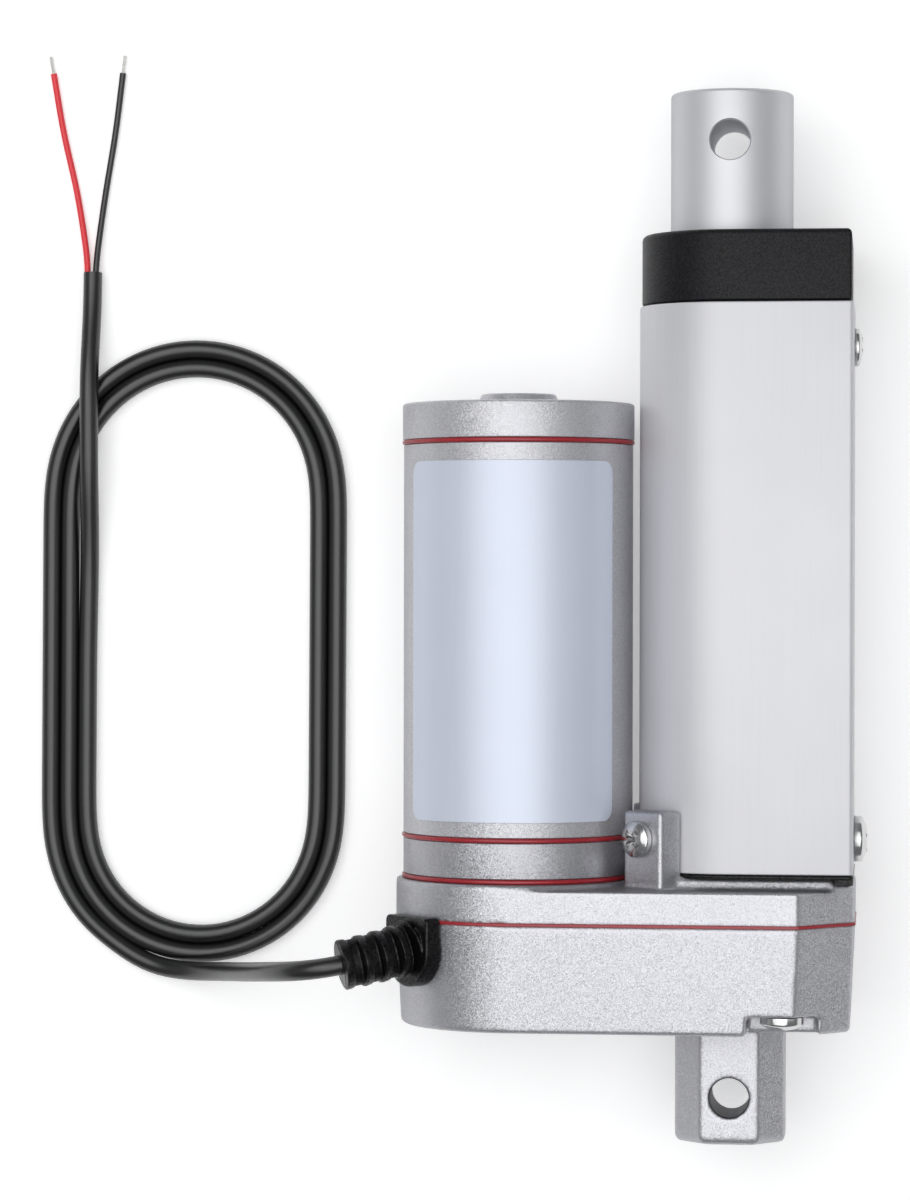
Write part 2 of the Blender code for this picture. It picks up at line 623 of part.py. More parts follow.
def housing_screw_places():
    """Two screws in the open corner pockets at the tube, two in counterbores at the motor."""
    for side in (1, -1):
        yield ROD_X + RIGHT_SCREW_X, side * RIGHT_SCREW_DEPTH
        yield MOTOR_X - LEFT_SCREW_OFFSET, side * LEFT_SCREW_OFFSET


def tie_bolt_places():
    for side in (1, -1):
        yield MOTOR_X, side * TIE_BOLT_CIRCLE


# Pieces

def lower_housing(actuator):
    edge = GEARBOX_EDGE_ROUND
    rings = [level(gearbox_outline(GEARBOX_DRAFT + edge), LOWER_BOTTOM)]
    rings.append(level(gearbox_outline(GEARBOX_DRAFT + edge * 0.3), LOWER_BOTTOM + edge * 0.3))
    rings.append(level(gearbox_outline(GEARBOX_DRAFT), LOWER_BOTTOM + edge))
    rings.append(level(gearbox_outline(0), LOWER_TOP))
    piece = add("gearbox_lower_housing", loft(rings), CAST, actuator, MOTOR)

    def eye_outline(inset):
        wide = EYE_WIDTH / 2 - inset
        thick = EYE_THICKNESS / 2 - inset
        bevel = EYE_CHAMFER
        right = [(wide, bevel - thick), (wide, thick - bevel), (wide - bevel, thick)]
        left = [(bevel - wide, thick), (-wide, thick - bevel), (-wide, bevel - thick)]
        return right + left + [(bevel - wide, -thick), (wide - bevel, -thick)]

    eye_rings = [level(eye_outline(EYE_ROUND * 0.9), -EYE_END)]
    eye_rings.append(level(eye_outline(EYE_ROUND * 0.3), -EYE_END + EYE_ROUND * 0.3))
    eye_rings.append(level(eye_outline(0), -EYE_END + EYE_ROUND))
    eye_rings.append(level(eye_outline(0), LOWER_BOTTOM + HOUSING_FLOOR / 2))
    join(piece, helper("rear_eye", loft(eye_rings), actuator, ROD))
    cavity = prism(cavity_outline(0), CAVITY_FLOOR, LOWER_TOP + HOUSING_FLOOR)
    cut(piece, helper("gear_cavity", cavity, actuator, MOTOR))
    across = (0, 0, 1)
    drill(piece, "eye_hole", PIN_HOLE_RADIUS, -EYE_WIDTH, EYE_WIDTH, actuator, ROD, across)
    bush_seat = SCREW_TIP_JOURNAL + RUNNING_GAP + LOWER_BUSH_WALL + SEAT_GAP
    drill(piece, "bush_seat", bush_seat, CAVITY_FLOOR - SCREW_TIP_DEPTH, LOWER_TOP, actuator, ROD)
    pin_seat = IDLER_PIN_RADIUS + SEAT_GAP
    drill(piece, "pin_seat", pin_seat, CAVITY_FLOOR - IDLER_PIN_SEAT, LOWER_TOP, actuator, IDLER)
    head, _, shank = HOUSING_SCREW
    for number, (x, z) in enumerate(housing_screw_places()):
        hole = shank + SCREW_HOLE_GAP
        if x < ROD_X:
            radii = (head + 2 * SEAT_GAP, hole)
            stops = (0, HOUSING_SEAT, UPPER_TOP)
            drill_stepped(piece, f"counterbore_{number}", radii, stops, actuator, (x, 0, z))
            continue
        drill(piece, f"screw_hole_{number}", hole, 0, UPPER_TOP, actuator, (x, 0, z))
        inner = abs(z) - head - 2 * SEAT_GAP
        outer = GEARBOX_HALF_DEPTH + POCKET_WIDTH
        corners = [(-POCKET_WIDTH / 2, inner), (POCKET_WIDTH / 2, inner), (POCKET_WIDTH / 2, outer)]
        corners.append((-POCKET_WIDTH / 2, outer))
        pocket = prism([(dx, math.copysign(dz, z)) for dx, dz in corners], 0, HOUSING_SEAT)
        cut(piece, helper(f"screw_pocket_{number}", pocket, actuator, (x, 0, 0)))


def upper_housing(actuator):
    rooted = UPPER_TOP - UPPER_PLATE_HEIGHT / 2
    plate = prism(gearbox_outline(0), UPPER_BOTTOM, UPPER_TOP)
    piece = add("gearbox_upper_housing", plate, CAST, actuator, MOTOR)
    boss = cylinder(MOTOR_RADIUS, rooted, MOTOR_SEAT, ROUND_SEGMENTS)
    join(piece, helper("motor_boss", boss, actuator, MOTOR))
    corner = GEARBOX_RIGHT_REACH - GEARBOX_CORNER_CHAMFER + GEARBOX_HALF_DEPTH - SEAT_GAP
    front = [(-PAD_LEFT, PAD_HALF_DEPTH), (corner - PAD_HALF_DEPTH, PAD_HALF_DEPTH)]
    front.append((PAD_RIGHT, corner - PAD_RIGHT))
    pad = front + [(x, -z) for x, z in reversed(front)]
    join(piece, helper("tube_pad", prism(pad, rooted, UPPER_TOP + PAD_HEIGHT), actuator, ROD))
    spigot = prism(d_outline(TUBE_WALL + SEAT_GAP), rooted, SPIGOT_TOP)
    join(piece, helper("tube_spigot", spigot, actuator, ROD))
    left = Vector((-math.cos(LUG_ANGLE), -math.sin(LUG_ANGLE))) * LUG_FACE_WIDTH
    back = Vector((math.sin(LUG_ANGLE), -math.cos(LUG_ANGLE))) * LUG_DEPTH
    edge = Vector((LUG_CORNER_X, LUG_CORNER_HEIGHT))
    for side, name in ((1, "front"), (-1, "back")):
        outline = [(x, side * z) for x, z in (edge, edge + left, edge + left + back, edge + back)]
        lug = helper(f"tube_lug_{name}", prism(outline, rooted, UPPER_TOP + LUG_HEIGHT), actuator, MOTOR)
        room = prism(d_outline(-SEAT_GAP), UPPER_TOP + PAD_HEIGHT / 2, UPPER_TOP + LUG_HEIGHT * 2)
        cut(lug, helper(f"tube_room_{name}", room, actuator, ROD))
        join(piece, lug)
    above = TUBE_TOP
    drill(piece, "pilot_bore", MOTOR_PILOT_RADIUS + SEAT_GAP, LOWER_BOTTOM, above, actuator, MOTOR)
    passage = (BEARING_OUTER_LIP + BEARING_OUTER) / 2
    radii = (passage, BEARING_OUTER + SEAT_GAP)
    stops = (LOWER_BOTTOM, BEARING_FLOOR, above)
    drill_stepped(piece, "bearing_bore", radii, stops, actuator, ROD, ROUND_SEGMENTS)
    pin_top = UPPER_BOTTOM + IDLER_PIN_SEAT
    drill(piece, "pin_seat", IDLER_PIN_RADIUS + SEAT_GAP, LOWER_BOTTOM, pin_top, actuator, IDLER)
    for number, (x, z) in enumerate(housing_screw_places()):
        end = HOUSING_SEAT + HOUSING_SCREW_LENGTH + SEAT_GAP
        hole = HOUSING_SCREW[2] + SCREW_HOLE_GAP
        drill(piece, f"screw_hole_{number}", hole, LOWER_BOTTOM, end, actuator, (x, 0, z))
    for number, (x, z) in enumerate(tie_bolt_places()):
        hole = TIE_BOLT_RADIUS + SCREW_HOLE_GAP
        drill(piece, f"tie_bolt_hole_{number}", hole, TIE_BOLT_BOTTOM - SEAT_GAP, above, actuator, (x, 0, z))
    drill_tube_screws(piece, actuator, SEAT_GAP)


def drill_tube_screws(piece, actuator, past):
    """Holes for the lug screws and the lower screw of the tube's flat side, to a little past their tips."""
    hole = LUG_SCREW[2] + SCREW_HOLE_GAP
    for side, name in ((1, "front"), (-1, "back")):
        seat, outward = lug_seat(side)
        drill(piece, f"lug_hole_{name}", hole, -lug_screw_length() - past, EYE_WIDTH, actuator, seat, outward)
    hole = LARGE_SCREW[2] + SCREW_HOLE_GAP
    seat = (ROD_X + FLAT_SEAT, TUBE_SCREW_LEVEL, 0)
    drill(piece, "flat_hole", hole, -TUBE_SCREW_LENGTH - SEAT_GAP, EYE_WIDTH, actuator, seat, (1, 0, 0))


def lug_seat(side):
    outward = (-math.sin(LUG_ANGLE), 0, side * math.cos(LUG_ANGLE))
    x = ROD_X + LUG_SEAT_X + outward[0] * SEAT_GAP
    z = side * LUG_SEAT_Z + outward[2] * SEAT_GAP
    return (x, LUG_SCREW_LEVEL, z), outward


def gearbox(actuator):
    lower_housing(actuator)
    upper_housing(actuator)
    gasket = prism(gearbox_outline(SEAT_GAP / 2), GASKET_BOTTOM, GASKET_BOTTOM + GASKET_THICKNESS)
    piece = add("gearbox_gasket", gasket, SILICONE, actuator, MOTOR)
    opening = prism(cavity_outline(0), LOWER_BOTTOM, UPPER_TOP)
    cut(piece, helper("gasket_opening", opening, actuator, MOTOR))
    mesh = screw_mesh("housing_screw", HOUSING_SCREW, HOUSING_SCREW_LENGTH)
    for number, (x, z) in enumerate(housing_screw_places()):
        hole = HOUSING_SCREW[2] + SCREW_HOLE_GAP
        drill(piece, f"screw_hole_{number}", hole, LOWER_BOTTOM, UPPER_TOP, actuator, (x, 0, z))
        seat = (x, HOUSING_SEAT - SEAT_GAP, z)
        put(f"housing_screw_{number + 1}", mesh, actuator, seat, (0, -1, 0))


def tube_and_cap(actuator):
    seal = [level(d_outline(inset), along) for inset, along in (
        (0, SEAL_BOTTOM),
        (0, SEAL_BOTTOM + SEAL_THICKNESS),
        (TUBE_WALL, SEAL_BOTTOM + SEAL_THICKNESS),
        (TUBE_WALL, SEAL_BOTTOM),
    )]
    add("tube_base_seal", loft(seal, endless=True), BLACK_RUBBER, actuator, ROD)
    walls = ((0, TUBE_BOTTOM), (0, TUBE_TOP), (TUBE_WALL, TUBE_TOP), (TUBE_WALL, TUBE_BOTTOM))
    wall_rings = [level(d_outline(inset), along) for inset, along in walls]
    piece = add("outer_tube", loft(wall_rings, endless=True), ANODISED, actuator, ROD)
    drill_tube_screws(piece, actuator, TUBE_WALL)
    hole = SMALL_SCREW[2] + SCREW_HOLE_GAP
    seat = (ROD_X + FLAT_SEAT, CAP_SCREW_LEVEL, 0)
    drill(piece, "cap_hole", hole, -EYE_WIDTH / 2, EYE_WIDTH, actuator, seat, (1, 0, 0))

    inside = TUBE_WALL + SEAT_GAP
    stages = ((inside, CAP_SPIGOT_BOTTOM), (inside, CAP_BOTTOM), (CAP_INSET, CAP_BOTTOM))
    stages += ((CAP_INSET, CAP_TOP - CAP_ROUND), (CAP_INSET + CAP_ROUND * 0.3, CAP_TOP - CAP_ROUND * 0.3))
    stages += ((CAP_INSET + CAP_ROUND, CAP_TOP),)
    cap = add("front_cap", loft([level(d_outline(i), a) for i, a in stages]), BLACK_PLASTIC, actuator, ROD)
    bore = cylinder(CAP_BORE_RADIUS, TUBE_BOTTOM, ROD_TOP, ROUND_SEGMENTS)
    cut(cap, helper("front_cap_bore", bore, actuator, ROD))
    drill(cap, "cap_hole", hole, -CAP_SCREW_LENGTH - SEAT_GAP, EYE_WIDTH, actuator, seat, (1, 0, 0))
    inner = ROD_RADIUS + RUNNING_GAP
    outer = CAP_BORE_RADIUS - SEAT_GAP
    wiper_bottom = CAP_TOP - SEAT_GAP - WIPER_HEIGHT
    bush = tube(inner, outer, CAP_SPIGOT_BOTTOM + SEAT_GAP, wiper_bottom - SEAT_GAP)
    add("rod_guide_bush", bush, NYLON, actuator, ROD)
    add("rod_wiper_seal", tube(inner, outer, wiper_bottom, CAP_TOP - SEAT_GAP), BLACK_RUBBER, actuator, ROD)
    cap_screw = screw_mesh("cap_screw", SMALL_SCREW, CAP_SCREW_LENGTH)
    put("cap_screw_right", cap_screw, actuator, seat, (1, 0, 0))
    tube_screw = screw_mesh("tube_screw", LARGE_SCREW, TUBE_SCREW_LENGTH)
    put("tube_screw_right", tube_screw, actuator, (ROD_X + FLAT_SEAT, TUBE_SCREW_LEVEL, 0), (1, 0, 0))
    lug_screw = screw_mesh("lug_screw", LUG_SCREW, lug_screw_length())
    for side, name in ((1, "front"), (-1, "back")):
        lug_place, outward = lug_seat(side)
        put(f"lug_screw_{name}", lug_screw, actuator, lug_place, outward)


def rod_and_nut(frame):
    turn = ROD_EDGE_ROUND
    profile = [(ROD_BORE_RADIUS, ROD_BOTTOM), (ROD_RADIUS, ROD_BOTTOM), (ROD_RADIUS, ROD_TOP - turn)]
    profile += [(ROD_RADIUS - turn * 0.3, ROD_TOP - turn * 0.3), (ROD_RADIUS - turn, ROD_TOP), (0, ROD_TOP)]
    profile += [(0, ROD_BORE_TOP), (ROD_BORE_RADIUS, ROD_BORE_TOP)]
    rod = add("rod", revolve(profile, ROUND_SEGMENTS), STEEL, frame)
    hole = PIN_HOLE_RADIUS
    wide = hole + PIN_HOLE_CHAMFER
    depth = math.sqrt(ROD_RADIUS * ROD_RADIUS - wide * wide)
    outline = [(0, -EYE_WIDTH), (wide, -EYE_WIDTH), (wide, -depth), (hole, PIN_HOLE_CHAMFER - depth)]
    outline += [(hole, depth - PIN_HOLE_CHAMFER), (wide, depth), (wide, EYE_WIDTH), (0, EYE_WIDTH)]
    across = (0, 0, 1)
    cut(rod, helper("rod_end_hole", revolve(outline, SMALL_SEGMENTS), frame, (0, ROD_HOLE, 0), across))

    radius = TUBE_RADIUS - TUBE_WALL - RUNNING_GAP
    notch = SWITCH_FACE - 2 * RUNNING_GAP
    notch_half = BOARD_HALF_WIDTH + 2 * RUNNING_GAP
    slope = TUBE_CORNER
    key = [(NUT_FLAT - slope, -radius), (NUT_FLAT, slope - radius)]
    key += [(NUT_FLAT, -notch_half), (notch, -notch_half)]
    outline = arc(0, 0, radius, math.pi / 2, 3 * math.pi / 2, 12) + key + [(x, -z) for x, z in reversed(key)]
    nut = add("drive_nut", prism(outline, NUT_BOTTOM, NUT_SHOULDER), BRONZE, frame)
    neck = cylinder(ROD_BORE_RADIUS - SEAT_GAP, NUT_SHOULDER - THREAD_PITCH, NUT_TOP, 24)
    join(nut, helper("nut_neck", neck, frame))
    minor = THREAD_MINOR + THREAD_RADIAL_GAP
    major = THREAD_MAJOR + THREAD_RADIAL_GAP
    below = math.floor((NUT_BOTTOM - THREAD_START) / THREAD_PITCH) - 1
    start = THREAD_START + below * THREAD_PITCH
    turns = math.ceil((NUT_TOP - start) / THREAD_PITCH) + 1
    ends = ((minor, start - THREAD_PITCH), (minor, start + (turns + 2) * THREAD_PITCH))
    cutter = thread(start, turns, minor, major, THREAD_AXIAL_GAP, ends[:1], ends[1:])
    cut(nut, helper("nut_thread", cutter, frame))


def screw_and_bearing(actuator, frame):
    tip = CAVITY_FLOOR - SCREW_TIP_DEPTH + 2 * RUNNING_GAP
    shoulder = CAVITY_FLOOR + RUNNING_GAP
    lower = [(SCREW_TIP_JOURNAL, tip), (SCREW_TIP_JOURNAL, shoulder), (SCREW_JOURNAL, shoulder)]
    lower += [(SCREW_JOURNAL, COLLAR_BOTTOM), (SCREW_COLLAR, COLLAR_BOTTOM), (SCREW_COLLAR, COLLAR_TOP)]
    lower.append((THREAD_MINOR, COLLAR_TOP))
    end = THREAD_START + (THREAD_TURNS + 1) * THREAD_PITCH
    upper = [(THREAD_MINOR, end)]
    shape = thread(THREAD_START, THREAD_TURNS, THREAD_MINOR, THREAD_MAJOR, 0, lower, upper)
    add("lead_screw", shape, STEEL, frame)

    bore = SCREW_JOURNAL + SEAT_GAP
    phase = math.pi + math.pi / SCREW_GEAR_TEETH
    outline = gear_outline(SCREW_GEAR_TEETH, -PROFILE_SHIFT, phase)
    gear = add("screw_gear", prism(outline, SCREW_GEAR_BOTTOM, SCREW_GEAR_TOP), STEEL, frame)
    drill(gear, "bore", bore, LOWER_BOTTOM, UPPER_TOP, frame, (0, 0, 0))
    inner_ring = tube(bore, BEARING_INNER_LIP, BEARING_BOTTOM, BEARING_TOP, SMALL_SEGMENTS)
    add("bearing_inner_ring", inner_ring, STEEL, frame)
    ring_top = BEARING_BOTTOM - SEAT_GAP
    ring = tube(bore, BEARING_INNER_LIP, ring_top - RING_THICKNESS, ring_top, SMALL_SEGMENTS)
    add("screw_retaining_ring", ring, STEEL, frame)

    outer_ring = tube(BEARING_OUTER_LIP, BEARING_OUTER, BEARING_BOTTOM, BEARING_TOP)
    add("bearing_outer_ring", outer_ring, STEEL, actuator, ROD)
    cage_middle = (BEARING_BOTTOM + BEARING_TOP) / 2
    cage_radius = (BEARING_INNER_LIP + BEARING_OUTER_LIP) / 2
    ball = (BEARING_OUTER_LIP - BEARING_INNER_LIP) / 2 - RUNNING_GAP
    balls = revolve(arc(cage_radius, cage_middle, ball, 0, math.tau * 7 / 8, 7), SMALL_SEGMENTS)
    add("bearing_ball_cage", balls, STEEL, actuator, ROD)
    inner = SCREW_TIP_JOURNAL + RUNNING_GAP
    bush_bottom = CAVITY_FLOOR - SCREW_TIP_DEPTH + SEAT_GAP
    bush = tube(inner, inner + LOWER_BUSH_WALL, bush_bottom, CAVITY_FLOOR, SMALL_SEGMENTS)
    add("lower_screw_bush", bush, BRONZE, actuator, ROD)


def idler(actuator, frame):
    wheel = gear_outline(IDLER_TEETH, -PROFILE_SHIFT, math.pi + math.pi / IDLER_TEETH)
    gear = add("idler_gear", prism(wheel, IDLER_WHEEL_BOTTOM, IDLER_WHEEL_TOP), STEEL, frame)
    pinion = gear_outline(PINION_TEETH, PROFILE_SHIFT, 0)
    pinion_top = IDLER_WHEEL_BOTTOM + IDLER_WHEEL_WIDTH / 4
    join(gear, helper("idler_pinion", prism(pinion, CAVITY_FLOOR + RUNNING_GAP, pinion_top), frame))
    bore = IDLER_PIN_RADIUS + RUNNING_GAP
    drill(gear, "bore", bore, LOWER_BOTTOM, UPPER_TOP, frame, (0, 0, 0))
    bottom = CAVITY_FLOOR - IDLER_PIN_SEAT + SEAT_GAP
    top = UPPER_BOTTOM + IDLER_PIN_SEAT - SEAT_GAP
    add("idler_pin", cylinder(IDLER_PIN_RADIUS, bottom, top, 16), STEEL, actuator, IDLER)


def ring_gasket(name, bottom, actuator):
    outer = MOTOR_RADIUS + RING_GASKET_PROUD
    ring = tube(outer - RING_GASKET_WIDTH, outer, bottom, bottom + GASKET_THICKNESS)
    add(name, ring, SILICONE, actuator, MOTOR)


def motor_case(actuator):
    ring_gasket("motor_flange_gasket", FLANGE_GASKET_BOTTOM, actuator)
    ring_gasket("motor_front_gasket", FRONT_GASKET_BOTTOM, actuator)
    ring_gasket("motor_cap_gasket", CAP_GASKET_BOTTOM, actuator)
    bush_inner = SHAFT_RADIUS + RUNNING_GAP
    bush_outer = bush_inner + BUSH_WALL
    seat = bush_outer + SEAT_GAP
    pilot = FLANGE_BOTTOM - MOTOR_PILOT_DEPTH
    ledge = FLANGE_TOP - MOTOR_FLANGE_HEIGHT / 5
    through = SHAFT_RADIUS + 3 * RUNNING_GAP
    profile = [(seat, pilot), (MOTOR_PILOT_RADIUS, pilot), (MOTOR_PILOT_RADIUS, FLANGE_BOTTOM)]
    profile += [(MOTOR_RADIUS, FLANGE_BOTTOM), (MOTOR_RADIUS, FLANGE_TOP), (through, FLANGE_TOP)]
    profile += [(through, ledge), (seat, ledge)]
    flange = add("motor_flange", revolve(profile, ROUND_SEGMENTS), CAST, actuator, MOTOR)
    bush = tube(bush_inner, bush_outer, pilot, ledge - SEAT_GAP, SMALL_SEGMENTS)
    add("motor_front_bush", bush, BRONZE, actuator, MOTOR)
    can_bore = MOTOR_RADIUS - MOTOR_WALL
    add("motor_can", tube(can_bore, MOTOR_RADIUS, CAN_BOTTOM, CAN_TOP), CAST, actuator, MOTOR)

    bush_top = REAR_CAP_TOP - RUNNING_GAP
    profile = [(seat, REAR_CAP_BOTTOM), (MOTOR_CAP_RADIUS, REAR_CAP_BOTTOM), (MOTOR_CAP_RADIUS, REAR_CAP_TOP)]
    boss_top = REAR_CAP_TOP + MOTOR_REAR_BOSS_HEIGHT
    profile += [(MOTOR_BOSS_RADIUS, REAR_CAP_TOP), (MOTOR_BOSS_RADIUS, boss_top), (0, boss_top)]
    profile += [(0, bush_top), (seat, bush_top)]
    cap = add("motor_rear_cap", revolve(profile, ROUND_SEGMENTS), CAST, actuator, MOTOR)
    rear_bush = tube(bush_inner, bush_outer, REAR_CAP_BOTTOM, bush_top - SEAT_GAP, SMALL_SEGMENTS)
    add("motor_rear_bush", rear_bush, BRONZE, actuator, MOTOR)
    head, height = TIE_BOLT_HEAD
    shank = TIE_BOLT_RADIUS
    top = TIE_BOLT_SEAT + height
    bolt = [(0, TIE_BOLT_BOTTOM), (shank, TIE_BOLT_BOTTOM), (shank, TIE_BOLT_SEAT), (head, TIE_BOLT_SEAT)]
    bolt += [(head, top), (0, top)]
    hole = shank + SCREW_HOLE_GAP
    plate_bottom = COMMUTATOR_BOTTOM + SEAT_GAP
    plate_top = plate_bottom + BRUSH_PLATE_THICKNESS
    plate_inner = COMMUTATOR_RADIUS + 3 * RUNNING_GAP
    plate_shape = tube(plate_inner, can_bore - SEAT_GAP, plate_bottom, plate_top)
    plate = add("brush_plate", plate_shape, NYLON, actuator, MOTOR)
    for number, (x, z) in enumerate(tie_bolt_places()):
        for piece in (flange, plate):
            drill(piece, f"bolt_hole_{number}", hole, UPPER_TOP, ROD_TOP, actuator, (x, 0, z))
        radii = (hole, head + SCREW_HOLE_GAP)
        stops = (UPPER_TOP, TIE_BOLT_SEAT - SEAT_GAP, ROD_TOP)
        drill_stepped(cap, f"bolt_hole_{number}", radii, stops, actuator, (x, 0, z))
        add(f"motor_tie_bolt_{number + 1}", revolve(bolt, 16), ZINC, actuator, (x, 0, z))
    half = BRUSH_SIZE / 2
    inner = COMMUTATOR_RADIUS + RUNNING_GAP
    outer = can_bore - BRUSH_SIZE / 2
    bottom = plate_top + SEAT_GAP
    for side, name in ((-1, "left"), (1, "right")):
        corners = [(side * x, z) for x, z in ((inner, -half), (outer, -half), (outer, half), (inner, half))]
        add(f"brush_{name}", prism(corners, bottom, bottom + BRUSH_SIZE), CARBON, actuator, MOTOR)
    outer = can_bore - SEAT_GAP
    middle = (ARMATURE_BOTTOM + ARMATURE_TOP) / 2
    for side, name in ((math.pi, "left"), (0, "right")):
        first = side - MAGNET_HALF_ANGLE
        last = side + MAGNET_HALF_ANGLE
        outline = arc(0, 0, outer, first, last, 10) + arc(0, 0, outer - MAGNET_THICKNESS, last, first, 10)
        magnet = prism(outline, middle - MAGNET_LENGTH / 2, middle + MAGNET_LENGTH / 2)
        add(f"motor_magnet_{name}", magnet, FERRITE, actuator, MOTOR)


def motor_label(actuator):
    """A bare foil label wrapped round the can, with rounded corners."""
    inner = MOTOR_RADIUS + LABEL_GAP
    outer = inner + LABEL_THICKNESS
    low = CAN_BOTTOM + LABEL_BOTTOM
    high = CAN_TOP - LABEL_TOP
    left = -LABEL_LEFT * outer
    right = LABEL_RIGHT * outer
    corner = LABEL_CORNER
    steps = 24
    stations = [left + corner * (1 - math.cos(math.pi / 6 * step)) for step in range(3)]
    stations += [left + corner + (right - left - 2 * corner) * step / steps for step in range(steps + 1)]
    stations += [right - corner * (1 - math.cos(math.pi / 6 * step)) for step in (2, 1, 0)]
    rings = []
    for station in stations:
        past = max(left + corner - station, station - right + corner, 0)
        trim = corner - math.sqrt(max(corner * corner - past * past, 0))
        angle = station / outer
        corners = ((inner, low + trim), (outer, low + trim), (outer, high - trim), (inner, high - trim))
        rings.append([(r * math.sin(angle), along, r * math.cos(angle)) for r, along in corners])
    add("motor_label", loft(rings), FOIL, actuator, MOTOR)


def rotor(frame):
    bore = SHAFT_RADIUS + SEAT_GAP
    bottom = IDLER_WHEEL_BOTTOM - SEAT_GAP
    top = REAR_CAP_TOP - 4 * RUNNING_GAP
    add("rotor_shaft", cylinder(SHAFT_RADIUS, bottom, top, 16), STEEL, frame)
    half = math.pi / ARMATURE_SLOTS
    outline = []
    for slot in range(ARMATURE_SLOTS):
        middle = 2 * half * slot
        outline += arc(0, 0, ARMATURE_RADIUS, middle - half * 0.8, middle + half * 0.8, 6)
        outline += arc(0, 0, ARMATURE_RADIUS / 2, middle + half * 0.8, middle + half * 1.2, 1)
    core = add("armature_core", prism(outline, ARMATURE_BOTTOM, ARMATURE_TOP), STEEL, frame)
    drill(core, "bore", bore, LOWER_BOTTOM, ROD_TOP, frame, (0, 0, 0))
    inner_end = WINDING_RADIUS * 0.8
    for name, face, way in (("front", ARMATURE_BOTTOM, -1), ("rear", ARMATURE_TOP, 1)):
        near = face + way * SEAT_GAP
        far = near + way * WINDING_LENGTH
        bulge = near + way * WINDING_LENGTH / 2
        profile = [(bore, near), (WINDING_RADIUS, near), (WINDING_RADIUS, bulge)]
        profile += [(inner_end, far), (bore, far)]
        add(f"armature_winding_{name}", revolve(profile, SMALL_SEGMENTS), COPPER, frame)
    segments = tube(bore, COMMUTATOR_RADIUS, COMMUTATOR_BOTTOM, COMMUTATOR_TOP, SMALL_SEGMENTS)
    add("commutator", segments, COPPER, frame)
    teeth = gear_outline(PINION_TEETH, PROFILE_SHIFT, 0)
    pinion = add("motor_pinion", prism(teeth, IDLER_WHEEL_BOTTOM, IDLER_WHEEL_TOP), STEEL, frame)
    drill(pinion, "bore", bore, LOWER_BOTTOM, UPPER_TOP, frame, (0, 0, 0))


def limit_switches(actuator):
    inside = TUBE_FLAT - TUBE_WALL - SEAT_GAP
    low = SPIGOT_TOP + SEAT_GAP
    high = CAP_SPIGOT_BOTTOM - SEAT_GAP

    def block(outer, thickness, half):
        return [(outer, -half), (outer, half), (outer - thickness, half), (outer - thickness, -half)]

    board = prism(block(inside, BOARD_THICKNESS, BOARD_HALF_WIDTH), low, high)
    add("limit_switch_board", board, BOARD, actuator, ROD)
    face = block(inside - BOARD_THICKNESS - SEAT_GAP, SWITCH_HEIGHT, SWITCH_HALF_WIDTH)
    lower_end = low + SWITCH_FROM_END
    upper_end = high - SWITCH_FROM_END
    add("limit_switch_lower", prism(face, lower_end, lower_end + SWITCH_LENGTH), BLACK_PLASTIC, actuator, ROD)
    add("limit_switch_upper", prism(face, upper_end - SWITCH_LENGTH, upper_end), BLACK_PLASTIC, actuator, ROD)


# Gland and cord

def ring_round(centre, direction, radius, sides):
    """A circle of points about a centre, square to a direction."""
    across = direction.cross(Vector((0, 1, 0))).normalized()
    upward = across.cross(direction).normalized()
    angles = [math.tau * side / sides for side in range(sides)]
    return [centre + (across * math.cos(a) + upward * math.sin(a)) * radius for a in angles]


def gland_direction(share):
    angle = GLAND_ANGLE + GLAND_TURN * share
    droop = math.cos(GLAND_DROOP)
    return Vector((-math.sin(angle) * droop, -math.sin(GLAND_DROOP), math.cos(angle) * droop))


def gland_point(distance):
    """A point on the gland's bent axis, in the actuator's frame, by steps along it."""
    outward = Vector((-math.sin(GLAND_ANGLE), 0, math.cos(GLAND_ANGLE)))
    face = GEARBOX_HALF_DEPTH + GLAND_FLANGE_THICKNESS
    point = Vector((MOTOR_X, GLAND_LEVEL, 0)) + outward * face
    steps = 24
    for step in range(steps):
        point += gland_direction((step + 0.5) / steps * distance / GLAND_LENGTH) * distance / steps
    return point


